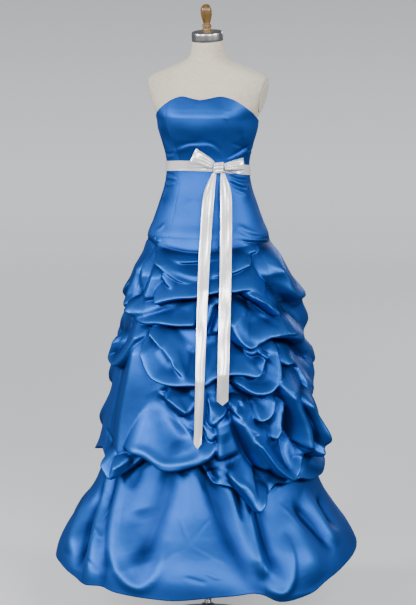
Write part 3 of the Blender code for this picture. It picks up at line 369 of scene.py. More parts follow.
def torso_point(angle, height):
    """The torso's surface, with the flat arm places and the neck's lean."""
    point = ring_point(angle, figure_radius(angle, height), height)
    across, up = arm_normal()
    face = across * ARM_FACE["top"][0] + up * ARM_FACE["top"][1]
    beyond = across * np.abs(point[..., 0]) + up * point[..., 2] - face
    push = np.where(height > ARM_FACE["flat from"], np.maximum(beyond, 0), 0)
    point[..., 0] -= np.sign(point[..., 0]) * across * push
    point[..., 2] -= up * push
    tilt = smooth_step((height - NECK_LEAN_START) / (NECK_TOP_HEIGHT - NECK_LEAN_START))
    point[..., 1] += NECK_CENTRE_Y * tilt
    point[..., 2] += (point[..., 1] - NECK_CENTRE_Y) * math.tan(NECK_TILT) * tilt
    return point


def stand_in(piece, node):
    """The piece takes a node's place."""
    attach(piece, "dress")
    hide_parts(node)


def torso():
    """The torso from the hip to the neck, closed below, with its seams as fine grooves."""
    paint = linen_paint()
    angle = np.linspace(-math.pi, math.pi, 180, endpoint=False)[None, :]
    height = np.linspace(TORSO_BOTTOM_HEIGHT, NECK_TOP_HEIGHT, 220)[::-1, None]
    points = torso_point(angle, height + 0 * angle)
    groove = bell(height - NECK_SEAM_HEIGHT, 1.2 * MM) + 0 * angle
    for seam in np.radians(TORSO_SEAMS):
        away = np.arctan2(np.sin(angle - seam), np.cos(angle - seam)) * 0.1
        groove = groove + bell(away, 1.4 * MM)
    points[..., :2] *= 1 - 0.006 * np.clip(groove, 0, 1)[..., None]
    bottom = np.zeros((1,) + points.shape[1:]) + (0, 0, TORSO_BOTTOM_HEIGHT)
    rim = points[-1:] * (0.93, 0.93, 1)
    rows = np.concatenate([points, rim, rim * (0.5, 0.5, 1), bottom + rim * (0.07, 0.07, 0)])
    piece = mesh_piece("torso_cover", rows, grid_faces(*rows.shape[:2], closed=True), paint, sharp=60)
    stand_in(piece, "form_torso")
    return paint


def arm_plate(name, side, paint):
    """An oval covered plate with a rounded edge, on the torso's flat side."""
    across, up = arm_normal()
    normal = np.array([side * across, 0, up])
    rise = np.array([-side * up, 0, across])
    middle = np.add(ARM_FACE["top"], ARM_FACE["bottom"]) / 2
    centre = np.array([side * middle[0], 0.004, middle[1]]) + 0.3 * MM * normal
    depth = np.array([0, 1, 0]) * side
    turn = np.linspace(0, 2 * math.pi, 64, endpoint=False)[None, :, None]
    bend = np.linspace(0, math.pi / 2, 9)
    shrink = np.concatenate([1 - 0.04 * (1 - np.cos(bend)), [0.9, 0.7, 0.4, 0.02]])[:, None, None]
    out = np.concatenate([np.sin(bend), [1.0, 1.02, 1.04, 1.04]])[:, None, None] * ARM_FACE["thick"]
    points = (centre + normal * out
              + np.cos(turn) * depth * ARM_FACE["wide"] / 2 * shrink
              + np.sin(turn) * rise * ARM_FACE["tall"] / 2 * shrink)
    piece = mesh_piece(name, points[::-side], grid_faces(*points.shape[:2], closed=True), paint, sharp=80)
    stand_in(piece, "form_" + name)


cover = torso()
arm_plate("arm_plate_left", 1, cover)
arm_plate("arm_plate_right", -1, cover)


# ---------------------------------------------------------------- neck cap, finial, pole and foot
# Turned parts on the neck's leaning line and on the pole: a chromed cap with a rolled edge,
# a varnished wooden finial with an egg on two rings, and a chromed pole in a flat round foot.

POLE_RADIUS = 9.75 * MM
FOOT_RADIUS = 0.18
FOOT_THICKNESS = 8 * MM
HUB_TOP_HEIGHT = 0.063
SEAM_GAP = 0.3 * MM
CAP_HEIGHT = 25 * MM
CAP_PROFILE = [
    # radius, height in mm
    (0.5, 0), (42.5, 0), (42.9, 0.6), (42.8, 19), (42.4, 21.2), (41.4, 23.2), (39.5, 24.5), (36.0, 25.0),
    (0.5, 25.0),
]
FINIAL_PROFILE = [
    # radius, height in mm
    (0.5, 0), (12.6, 0), (13.0, 1.4), (13.0, 5.6), (12.6, 7.0), (11.2, 7.9), (10.6, 9.2), (11.4, 10.4),
    (12.6, 11.8), (13.0, 13.6), (12.7, 15.9), (11.6, 17.9), (9.8, 19.6), (9.2, 21.2), (9.7, 23.2),
    (10.6, 26.0), (11.8, 30.0), (13.3, 36.0), (14.6, 42.0), (15.4, 47.5), (15.6, 50.0), (15.1, 50.8),
    (15.1, 51.6), (15.7, 52.4), (15.6, 57.0), (14.6, 62.0), (12.4, 66.5), (9.2, 70.0), (5.2, 72.3),
    (0.5, 73.0),
]
STAND_PROFILE = [
    # radius, height in m
    (0.001, 0), (FOOT_RADIUS, 0), (FOOT_RADIUS, FOOT_THICKNESS - 2 * MM),
    (FOOT_RADIUS - 2 * MM, FOOT_THICKNESS),
    (0.034, FOOT_THICKNESS + 2 * MM), (0.026, 0.018), (0.021, 0.035), (0.0195, HUB_TOP_HEIGHT - 2 * MM),
    (0.0180, HUB_TOP_HEIGHT), (POLE_RADIUS, HUB_TOP_HEIGHT), (POLE_RADIUS, TORSO_BOTTOM_HEIGHT - SEAM_GAP),
]


def chrome_paint():
    """Polished chrome with faint hairlines round it and a little haze."""
    paint = Paint("polished_chrome", (0.66, 0.66, 0.68), 0.30, Metallic=1.0)
    place = paint.place()
    hairs = paint.noise(paint.stretched(place, (3, 3, 1500)), 1.0, 2.0)
    haze = paint.noise(place, 30.0, 3.0)
    return paint.finish(Roughness=paint.ramp(haze, 0.3, 0.8, 0.26, 0.36),
                        Normal=paint.bump(hairs, 0.00005, 0.25))


def wood_paint():
    """Varnished mid-brown wood: growth rings stretched along the grain, under a clear coat."""
    paint = Paint("varnished_wood", (0.38, 0.20, 0.07), 0.38, **{"Coat Weight": 0.6, "Coat Roughness": 0.12})
    place = paint.place()
    grain = paint.noise(paint.stretched(place, (90, 90, 12)), 1.0, 5.0, 0.6)
    pores = paint.noise(paint.stretched(place, (900, 900, 60)), 1.0, 2.0)
    tone = paint.mix(paint.ramp(grain, 0.3, 0.7), (0.09, 0.046, 0.012), (0.23, 0.130, 0.034))
    tone = paint.mix(paint.ramp(pores, 0.60, 0.75, 0.0, 0.7), tone, (0.09, 0.04, 0.012))
    return paint.finish(Base_Color=tone, Normal=paint.bump(pores, 0.0002, 0.3))


def turned(name, node, profile, paint, foot=(0, 0, 0), tilt=0.0):
    """A turned piece: each step of the profile is cut in three, and it stands tilted on its foot."""
    profile = np.asarray(profile, float)
    at = np.arange(0, len(profile) - 1 + 1e-9, 1 / 3)
    radius = np.interp(at, np.arange(len(profile)), profile[:, 0])
    height = np.interp(at, np.arange(len(profile)), profile[:, 1])
    turn = np.linspace(0, 2 * math.pi, 72, endpoint=False)[None, :]
    points = ring_point(turn, radius[:, None], height[:, None])[::-1]
    y = points[..., 1] * math.cos(tilt) - points[..., 2] * math.sin(tilt)
    z = points[..., 1] * math.sin(tilt) + points[..., 2] * math.cos(tilt)
    points = np.stack([points[..., 0], y, z], -1) + np.array(foot)
    piece = mesh_piece(name, points, grid_faces(*points.shape[:2], closed=True), paint, sharp=35)
    stand_in(piece, node)


chrome = chrome_paint()
neck_axis = np.array([0, -math.sin(NECK_TILT), math.cos(NECK_TILT)])
neck_foot = np.array([0, NECK_CENTRE_Y, NECK_TOP_HEIGHT]) + SEAM_GAP * neck_axis
turned("neck_cap", "form_neck_cap", np.array(CAP_PROFILE) * MM, chrome, neck_foot, NECK_TILT)
turned("finial", "form_finial", np.array(FINIAL_PROFILE) * MM, wood_paint(),
       neck_foot + (CAP_HEIGHT + SEAM_GAP) * neck_axis, NECK_TILT)
turned("pole_and_foot", "stand_pole_and_foot", STAND_PROFILE, chrome)


# ---------------------------------------------------------------- the overskirt
# A satin skirt tacked up in three tiers of pouches and swags over the bottom skirt. Its folds
# are laid one over another where an observer sees them, and mirrored on the back.

CM = 0.01
HIP_SEAM_HEIGHT = 1.118
HEM_RADIUS = 0.433
SATIN_WALL = 2 * MM
LAYER_GAP = 0.5 * MM
EDGE_LIFT = 7.5 * MM  # how far the lower edge stands off the bottom skirt
EDGE_STANDS_OFF = 66 * MM  # the lowest folds that show, off the bottom skirt
TUCKED_UNDER = 24 * MM  # cloth that goes on below them, out of sight
SAG = 0.45  # how far cloth that stands out also sinks, as a share of how far it stands out
SKIRT_PROFILE = [
    # height, outer radius of the bottom skirt before its folds
    (0.200, HEM_RADIUS),
    (0.250, 0.421),
    (0.300, 0.396),
    (0.350, 0.360),
    (0.400, 0.327),
    (0.450, 0.305),
    (0.500, 0.287),
    (0.600, 0.262),
    (0.700, 0.243),
    (0.800, 0.226),
    (0.900, 0.206),
    (1.000, 0.186),
    (1.060, 0.1735),
    (1.118, 0.1625),
]

# Each fold: the height of its crest over the bottom skirt, how far it rises above the crest line
# and drops below it, all in mm, and the crest's line as (across, up) in cm. The cloth's body is
# to the left of the line's run.
OVERSKIRT_FOLDS = [
    # name, crest, above, below, line
    ("left hip tuck", 17, 16, 12, ((-17, 113.5), (-16, 112), (-15, 110.5), (-13, 111), (-11.5, 113))),
    ("hip edge", 20, 14, 8, ((-16, 111), (-14, 109), (-10.5, 108.5), (-6.5, 107.5), (-2.5, 106.5),
        (1.5, 106), (5.5, 106.5), (9, 107.5), (14, 108), (18, 109))),
    ("right hip tuck", 22, 24, 12, ((7.5, 113), (10, 111), (14, 109.5), (18, 109.5))),
    ("hip roll", 38, 18, 13, ((-18, 110), (-17, 107.5), (-14, 105.5), (-9, 104), (-3.5, 104),
        (1.5, 104.5), (7, 105), (13, 106.5), (19.5, 108))),
    ("second roll", 46, 24, 14, ((-18, 108), (-16.5, 105), (-14, 102.5), (-11.5, 100.5), (-8, 98.5),
        (-4.5, 98), (-1, 98.5), (3, 100), (7.5, 101), (11, 102.5), (16, 104.5))),
    ("left side plane", 52, 50, 40, ((-19.5, 105), (-21.5, 101), (-23, 97), (-24, 93), (-24, 89.5),
        (-22.5, 87))),
    ("facet ridge", 48, 26, 22, ((-13.5, 103.5), (-13, 100), (-11, 97), (-8, 95), (-5, 94))),
    ("first pouch", 64, 40, 20, ((-19.5, 89.5), (-17.5, 91), (-14, 92.5), (-9, 93.5), (-3.5, 94),
        (1, 95), (4, 95.5), (7.5, 95.5), (11, 96), (13.5, 95.5), (17, 93), (20.5, 91.5))),
    ("facet edge", 44, 24, 44, ((-19, 89), (-18.5, 93), (-17, 97), (-15.5, 101), (-14.5, 104))),
    ("left pouch", 66, 40, 22, ((-25, 95), (-24.5, 91), (-22.5, 88), (-19.5, 86.5), (-15, 86.5),
        (-9, 86), (-3, 86), (0, 85))),
    ("right fold", 74, 34, 18, ((10, 96.5), (14, 93.5), (17.5, 91.5), (20.5, 88.5), (22.5, 85))),
    ("right corner", 76, 60, 60, ((19, 105), (22, 101.5), (25, 97.5), (28, 93.5), (28.5, 89),
        (28, 85))),
    ("right pouch", 84, 44, 24, ((6.5, 91), (7.5, 86), (9.5, 82), (12.5, 79.5), (15.5, 81),
        (18.5, 82.5), (23, 83.5), (27, 84), (29, 86.5))),
    ("left small roll", 56, 50, 22, ((-26.5, 86), (-27.5, 81), (-28.5, 77), (-27, 75), (-25, 76.5),
        (-23, 79.5), (-21, 82.5), (-18, 85.5))),
    ("left long fold", 62, 24, 16, ((-19, 85.5), (-16, 82.5), (-12, 78), (-8, 72.5), (-6, 70.5),
        (-3, 69), (0, 68.5))),
    ("second pouch", 72, 46, 22, ((-22, 83.5), (-20, 79), (-18, 73.5), (-15.5, 70.5), (-10.5, 69),
        (-4, 69), (-1, 69), (2, 71), (6, 72), (10.5, 72), (14.5, 71.5), (16.5, 74.5), (17.5, 79),
        (18, 83))),
    ("centre plane", 56, 40, 14, ((3, 95), (1.5, 88.5), (-0.5, 82.5), (-1, 79))),
    ("inner swag", 68, 28, 18, ((11.5, 80), (14, 77), (16.5, 77), (18, 80))),
    ("outer swag", 78, 36, 20, ((6.5, 72.5), (10, 68.5), (13.5, 66.5), (17, 66.5), (19.5, 68),
        (21, 71), (20.5, 76.5), (18.5, 82.5))),
    ("right rim", 78, 34, 24, ((17.5, 82.5), (22.5, 83), (26.5, 82), (30.5, 79))),
    ("right outer", 80, 50, 26, ((28, 81), (30.5, 79), (31, 73.5), (28, 66.5))),
    ("flap", 70, 34, 16, ((20.5, 72.5), (22.5, 74.5), (24.5, 75.5), (26.5, 74.5), (27, 70.5),
        (27.5, 66))),
    ("left flap", 86, 50, 18, ((-33, 51.5), (-32, 47.5), (-29.5, 42.5), (-28.5, 42.5), (-27.5, 45),
        (-25, 50))),
    ("third plane", 56, 80, 70, ((-19.5, 87), (-21.5, 79), (-23, 70), (-25, 60), (-26, 51),
        (-26.5, 40.5))),
    ("third pouch", 74, 105, 24, ((-33.5, 51), (-29, 50.5), (-24.5, 50), (-20, 49), (-16.5, 47),
        (-14, 45), (-10.5, 44.5), (-6, 45.5), (-1.5, 47), (1.5, 49.5), (3, 53), (3, 58))),
    ("under lip", 40, 30, 8, ((-18, 47.5), (-17.5, 45.5), (-14.5, 44.5), (-11, 43.5), (-7.5, 44.5))),
    ("facet point", 60, 24, 40, ((-15, 68), (-12, 66), (-9, 63), (-6, 60.5), (-2.5, 58))),
    ("centre loop", 60, 34, 18, ((-2.5, 53), (-0.5, 52), (1, 53.5), (2, 56), (2, 59))),
    ("centre facet", 64, 60, 20, ((-3.5, 60), (-1.5, 58), (0, 56.5), (3, 59), (6, 62.5), (9, 65))),
    ("curved pocket", 46, 60, 9, ((-2, 47.5), (-1, 43), (1.5, 40), (4, 39.5), (7, 40.5))),
    ("cascade", 78, 60, 22, ((3, 43), (5, 41.5), (8.5, 40.5), (11.5, 37.5), (14.5, 33.5), (15.5, 32.5),
        (17, 34.5), (18.5, 37.5), (21, 41))),
    ("cascade edge", 66, 60, 9, ((6.5, 63.5), (4, 60.5), (3, 57.5), (3.5, 52.5), (3.5, 46.5),
        (3.5, 41.5))),
    ("cascade fold", 76, 50, 30, ((8, 63.5), (10, 57.5), (13.5, 51.5), (17.5, 45), (20.5, 40))),
    ("big swag", 92, 46, 26, ((12, 56), (14.5, 53), (17.5, 49), (20.5, 45), (24, 42.5), (26.5, 42.5),
        (27.5, 45.5), (29.5, 51), (29.5, 54.5), (28, 59), (25, 65.5), (21.5, 71.5))),
    ("swag inner edge", 72, 26, 26, ((21.5, 71.5), (22.5, 67), (21.5, 61.5), (20.5, 55.5), (18, 51))),
    ("swag small loop", 74, 30, 16, ((12, 59.5), (14.5, 58.5), (17.5, 59.5), (19, 61.5), (19.5, 64.5),
        (20.5, 67.5))),
    ("loop left edge", 70, 26, 16, ((8, 65.5), (8.5, 61), (13, 56), (19, 52.5))),
    ("right side flap", 118, 70, 20, ((21.5, 71.5), (25.5, 65.5), (29, 57.5), (31, 49.5), (33, 41.5))),
    ("right outer flap", 124, 60, 30, ((27.5, 68.5), (31, 62.5), (34.5, 56), (36, 48), (35, 42))),
]

# Hollows: their height over the bottom skirt and their width in mm, how firmly they pull, and
# their line in cm.
OVERSKIRT_HOLLOWS = [
    # name, height, width, firmness, line
    ("left side hollow", 34, 30, 0.7, ((-20, 104), (-20.5, 97.5), (-21, 93))),
    ("left pouch hollow", 36, 20, 0.8, ((-22, 91.5), (-20.5, 89.5), (-17, 89), (-10.5, 91), (-3.5, 92.5))),
    ("centre crease", 22, 12, 0.8, ((3, 94.5), (1.5, 88), (-0.5, 82.5))),
    ("right hollow", 44, 24, 0.7, ((10.5, 92.5), (14, 89), (18, 87))),
    ("right swag hollow", 40, 20, 0.7, ((15, 79), (13, 77), (11.5, 75.5))),
    ("right dark side", 44, 26, 0.8, ((22.5, 79.5), (25.5, 76), (28, 71))),
    ("centre tack", 40, 12, 0.8, ((8.5, 67.5), (9, 64.5), (8.5, 62.5))),
    ("third hollow", 34, 30, 0.7, ((-12, 63), (-9, 57), (-6, 52))),
    ("swag hollow", 52, 26, 0.8, ((23, 55), (23.5, 50), (25, 47.5))),
    ("pocket hollow", 16, 14, 0.8, ((0, 46.5), (1.5, 43.5), (3, 43))),
]

# The lowest visible edge, from left to right, in cm.
OVERSKIRT_EDGE = (
    (-33.5, 51), (-30, 42.5), (-25, 44), (-20.5, 47.5), (-16.5, 45), (-12, 43.5), (-7, 44.5),
    (-2, 46), (0.5, 39.5), (4, 39), (9, 38), (13.5, 33), (16.5, 31.5), (18.5, 35.5), (21.5, 40),
    (25.5, 39.5), (29.5, 41.5), (32.5, 41), (36, 43), (38, 48),
)


def curve_through(points, spacing):
    """Points every `spacing` along a smooth curve through a few points in a plane."""
    points = np.asarray(points, float)
    ends = np.vstack([2 * points[0] - points[1], points, 2 * points[-1] - points[-2]])
    pieces = []
    for before, start, end, after in zip(ends, ends[1:], ends[2:], ends[3:]):
        count = max(2, int(np.linalg.norm(end - start) / spacing))
        t = np.linspace(0, 1, count, endpoint=False)[:, None]
        pieces.append(
            0.5 * (2 * start + (end - before) * t
                   + (2 * before - 5 * start + 4 * end - after) * t ** 2
                   + (3 * start - before - 3 * end + after) * t ** 3)
        )
    pieces.append(points[-1:])
    return np.vstack(pieces)


def skirt_radius(angle, height):
    """The bottom skirt's cone: as oval as the hip at the top, round from half way down."""
    mean = eased(height, column(SKIRT_PROFILE, 0), column(SKIRT_PROFILE, 1))
    hip = cloth_radius(angle, HIP_SEAM_HEIGHT) - SATIN_WALL - LAYER_GAP
    ovalness = smooth_step((height - 0.72) / (HIP_SEAM_HEIGHT - 0.72))
    return mean + ovalness * (hip - SKIRT_PROFILE[-1][1])


def seen(across, up, proud, radius_at=skirt_radius):
    """Angle and height where a sight line meets a round body, `proud` metres outside it.

    `across` and `up` are where the line of sight crosses the upright plane that
    holds the pole and faces the observer.
    """
    across = np.asarray(across, float)
    up = np.asarray(up, float)
    towards = np.zeros_like(across)
    for _ in range(12):
        share = towards / SIGHT_DISTANCE
        side = across * (1 - share)
        height = up + share * (SIGHT_HEIGHT - up)
        turn = np.arctan2(side, np.maximum(towards, 1e-9))
        radius = radius_at(turn + SIGHT_TURN, height) + proud
        towards = np.sqrt(np.maximum(radius ** 2 - side ** 2, 0))
    return np.arctan2(side, towards) + SIGHT_TURN, height


BACK_TURN = math.radians(9)
BACK_LIFT = 22 * MM


def to_back(angle, height):
    """The place on the back that answers one on the front: mirrored, then moved a little."""
    turn = math.pi - (angle - SIGHT_TURN)
    away = -np.cos(turn)
    turn = turn + BACK_TURN * away * np.abs(away)
    return turn + SIGHT_TURN, height + BACK_LIFT * away * np.sin(2.5 * turn)


def wrapped(angle):
    return np.mod(angle + math.pi, 2 * math.pi) - math.pi


def all_round(line, proud):
    """Height of a seen line, such as a hem, as a smooth function of the angle all round."""
    across, up = np.array(line).T * CM
    angle, height = seen(across, up, proud)
    back_angle, back_height = to_back(angle[1:-1], height[1:-1])
    angles = np.concatenate([angle, back_angle])
    heights = np.concatenate([height, back_height])
    order = np.argsort(wrapped(angles))
    fine = np.linspace(-math.pi, math.pi, 361)
    values = np.interp(fine, wrapped(angles)[order], heights[order], period=2 * math.pi)
    for _ in range(6):
        values[:-1] = (np.roll(values[:-1], 1) + 2 * values[:-1] + np.roll(values[:-1], -1)) / 4
    values[-1] = values[0]
    return lambda angle: np.interp(wrapped(angle), fine, values)


visible_edge = all_round(OVERSKIRT_EDGE, EDGE_STANDS_OFF)


def hip_line(angle):
    """The seam under the bodice, level all round."""
    return np.full(np.shape(angle), HIP_SEAM_HEIGHT - SEAM_GAP)


def edge_height(angle):
    """Where the overskirt's cloth meets the bottom skirt, before the sag."""
    return visible_edge(angle) + SAG * EDGE_STANDS_OFF - TUCKED_UNDER


def averaged(grid, across, down):
    """A grid that closes round on itself, blurred over some columns and rows."""
    around = np.fft.fftfreq(grid.shape[1])[None, :] * across
    along = np.fft.fftfreq(2 * grid.shape[0])[:, None] * down
    soft = np.exp(-2 * math.pi ** 2 * (around ** 2 + along ** 2))
    return np.fft.ifft2(np.fft.fft2(np.concatenate([grid, grid[::-1]])) * soft).real[:len(grid)]


def inner(share, over):
    """1 along the middle of a line, falling to 0 over a share of it at each end."""
    return smooth_step(share / over) * smooth_step((1 - share) / over)


class Relief:
    """Heights over a round body, on a grid of angles and heights, built up from lines drawn on it."""

    def __init__(self, columns, rows, low, high, radius):
        self.angle = np.linspace(-math.pi, math.pi, columns, endpoint=False)
        self.height = np.linspace(low, high, rows)
        self.radius = radius
        self.grid = np.zeros((rows, columns))

    def near(self, angle, height, reach):
        """The part of the grid within reach of a path.

        With it come each point's distance, positive to the path's left, and its share along the path."""
        radius = float(np.mean(self.radius(angle, height)))
        middle = angle[len(angle) // 2]
        turn = wrapped(self.angle - middle)
        path = wrapped(angle - middle)
        columns = np.where((turn > path.min() - reach / radius) & (turn < path.max() + reach / radius))[0]
        rows = np.where((self.height > height.min() - reach) & (self.height < height.max() + reach))[0]
        x = turn[columns][None, :] * radius
        y = self.height[rows][:, None]
        path = path * radius
        best = np.full((len(rows), len(columns)), 1.0)
        side = np.zeros(best.shape)
        share = np.zeros(best.shape)
        for i in range(len(path) - 1):
            run = path[i + 1] - path[i]
            rise = height[i + 1] - height[i]
            along = (x - path[i]) * run + (y - height[i]) * rise
            t = np.clip(along / (run * run + rise * rise + 1e-12), 0, 1)
            right = x - path[i] - t * run
            up = y - height[i] - t * rise
            apart = right * right + up * up
            closer = apart < best
            best = np.where(closer, apart, best)
            side = np.where(closer, run * up - rise * right, side)
            share = np.where(closer, (i + t) / (len(path) - 1), share)
        return np.ix_(rows, columns), np.copysign(np.sqrt(best), side), share

    def stroke(self, angle, height, rise, wide):
        """Adds a crease or a ridge of a width along a path. Its ends fade."""
        part, apart, share = self.near(angle, height, 2.6 * wide)
        self.grid[part] += rise * inner(share, 0.3) ** 0.7 * bell(apart, wide)

    def fold(self, angle, height, crest, above, below):
        """Lays a fold on top: a hollow slope up to its round crest line, and a short drop below it.

        Its height is the crest's, times the share of its reach that is left, to the power 1.8 above
        the line and 1.2 below. Its ends fade."""
        part, apart, share = self.near(angle, height, 2.3 * max(above, below))
        length = float(np.hypot(np.diff(angle) * self.radius(angle[0], height[0]), np.diff(height)).sum())
        taper = min(max(1.1 * max(above, below) / length, 0.12), 0.45)
        fade = inner(share, taper)
        away = (np.hypot(apart, FOLD_ROUND) - FOLD_ROUND) / np.where(apart > 0, 2.3 * above, 1.5 * below)
        section = np.maximum(1 - away, 0) ** np.where(apart > 0, 1.8, 1.2)
        value = crest * fade * section
        old = self.grid[part]
        blend = np.minimum(FOLD_BLEND, value) + 1e-9
        meet = np.maximum(blend - np.abs(old - value), 0) / blend
        self.grid[part] = np.maximum(old, value) + meet * meet * blend / 4

    def hollow(self, angle, height, level, wide, firm):
        """Pulls the surface to a level along a path. Its ends fade."""
        part, apart, share = self.near(angle, height, 2.6 * wide)
        pull = firm * inner(share, 0.25) * bell(apart, wide)
        self.grid[part] -= np.maximum(self.grid[part] - level, 0) * pull

    def smooth(self, passes):
        """Each pass mixes every point with its neighbours on both sides, 1 to 2 to 1."""
        for _ in range(passes):
            grid = (np.roll(self.grid, 1, 1) + 2 * self.grid + np.roll(self.grid, -1, 1)) / 4
            grid[1:-1] = (grid[:-2] + 2 * grid[1:-1] + grid[2:]) / 4
            self.grid = grid

    def at(self, angle, height):
        """The relief at any angle and height, between its grid's points."""
        rows, columns = self.grid.shape
        x = np.mod((angle + math.pi) / (2 * math.pi), 1) * columns
        y = (height - self.height[0]) / (self.height[-1] - self.height[0]) * (rows - 1)
        y = np.clip(y, 0, rows - 1.001)
        i = np.floor(x).astype(int)
        j = np.floor(y).astype(int)
        fx = x - i
        fy = y - j
        left = self.grid[j, i % columns] * (1 - fy) + self.grid[j + 1, i % columns] * fy
        right = self.grid[j, (i + 1) % columns] * (1 - fy) + self.grid[j + 1, (i + 1) % columns] * fy
        return left * (1 - fx) + right * fx


FOLD_BLEND = 4 * MM  # how softly two folds meet
FOLD_ROUND = 7 * MM  # the round of a crest
FOLD_STEP = 6 * MM  # along a fold's line
SIDE_TURN = math.radians(92)
SIDE_WIDTH = math.radians(14)

# The cloth's body between its folds: height, and how far it stands off the bottom skirt.
OVERSKIRT_BODY = [
    (0.35, 34 * MM), (0.60, 34 * MM), (0.75, 26 * MM), (0.90, 20 * MM), (1.00, 12 * MM), (1.08, 6 * MM),
    (HIP_SEAM_HEIGHT, 3 * MM),
]

# Swags at each side, where the observer doesn't see: rise and width in mm, and their lines in
# degrees round from the side and cm up.
SIDE_SWAGS = [
    # name, rise, width, line
    ("swag one", 14, 18, ((-24, 103), (-4, 98), (20, 102))),
    ("swag two", -10, 14, ((-20, 99), (2, 93), (22, 98))),
    ("swag three", 17, 22, ((-25, 94), (0, 87), (24, 93))),
    ("swag four", -13, 18, ((-22, 88), (4, 80), (26, 87))),
    ("swag five", 19, 24, ((-26, 82), (-5, 73), (24, 79))),
    ("swag six", -14, 20, ((-22, 74), (0, 66), (25, 72))),
    ("swag seven", 19, 24, ((-27, 68), (5, 59), (26, 66))),
    ("swag eight", -14, 20, ((-22, 62), (2, 54), (24, 58))),
    ("swag nine", 12, 20, ((-24, 55), (-2, 50), (22, 53))),
]


def laid(line, proud, back):
    """Angles and heights before the sag of a seen line in cm, `proud` metres off the bottom skirt."""
    curve = curve_through(np.array(line) * CM, FOLD_STEP)
    angle, height = seen(curve[:, 0], curve[:, 1], proud)
    height = height + SAG * proud
    return np.array(to_back(angle, height) if back else (angle, height))


def overskirt_drape():
    """The tiers' relief: the body, the folds, the hollows that pull in, and the swags at the sides."""
    drape = Relief(1200, 560, 0.36, HIP_SEAM_HEIGHT, skirt_radius)
    drape.grid += eased(drape.height, column(OVERSKIRT_BODY, 0), column(OVERSKIRT_BODY, 1))[:, None]
    for back in (False, True):
        for _, crest, above, below, line in OVERSKIRT_FOLDS:
            path = laid(line, crest * MM, back)
            drape.fold(*(path[:, ::-1] if back else path), crest * MM, above * MM, below * MM)
        for _, level, wide, firm, line in OVERSKIRT_HOLLOWS:
            drape.hollow(*laid(line, level * MM, back), level * MM, wide * MM, firm)
    by_side = bell(np.abs(drape.angle) - SIDE_TURN, SIDE_WIDTH)
    drape.grid += 0.85 * by_side[None, :] * (averaged(drape.grid, 26, 12) - drape.grid)
    for _, rise, wide, line in SIDE_SWAGS:
        lean, height = curve_through(np.array(line), 0.5).T
        for side in (-1, 1):
            angle = side * (SIDE_TURN + np.radians(lean))
            drape.stroke(angle[::side], height[::side] * CM + side * 6 * MM, rise * MM, wide * MM)
    drape.smooth(4)
    return drape


drape = overskirt_drape()


def overskirt_out(angle, height):
    """How far the overskirt stands off the bottom skirt at a height before the sag.

    A band under the hip seam, deepest at the front, lies smooth; the folds start below it."""
    under_seam = hip_line(angle) - height
    low = SATIN_WALL + LAYER_GAP + EDGE_LIFT * smooth_step(under_seam / 0.12)
    band = 10 * MM + 22 * MM * bell(wrapped(angle), 0.9)
    near_hip = smooth_step((under_seam - band) / (24 * MM))
    near_edge = smooth_step((height - edge_height(angle)) / (18 * MM))
    return low + np.maximum(drape.at(angle, height) - low, 0) * near_hip * near_edge


def seen_on(across, up, out_at, proud, sag, rounds):
    """Angle, and height before the sag, of what the observer sees on cloth at a place.

    `out_at` says how far the cloth stands off the skirt's cone, and `proud` is a first guess,
    which every round makes better."""
    proud = np.full(np.shape(across), float(proud))
    for _ in range(rounds):
        angle, height = seen(across, up, proud)
        before = height + sag * proud
        proud = (proud + out_at(angle, before)) / 2
    return angle, before


def seen_on_overskirt(across, up):
    return seen_on(across, up, overskirt_out, 50 * MM, SAG, 10)


def lay_creases(relief, table, place, back=True):
    """Strokes from a table: name, rise and width in mm, and line in cm. `back` repeats them behind."""
    for _, rise, wide, line in table:
        curve = curve_through(np.array(line) * CM, max(1.5, wide / 3) * MM)
        angle, height = place(curve[:, 0], curve[:, 1])
        relief.stroke(angle, height, rise * MM, wide * MM)
        if back:
            angle, height = to_back(angle, height)
            relief.stroke(angle, height, rise * MM, wide * MM)


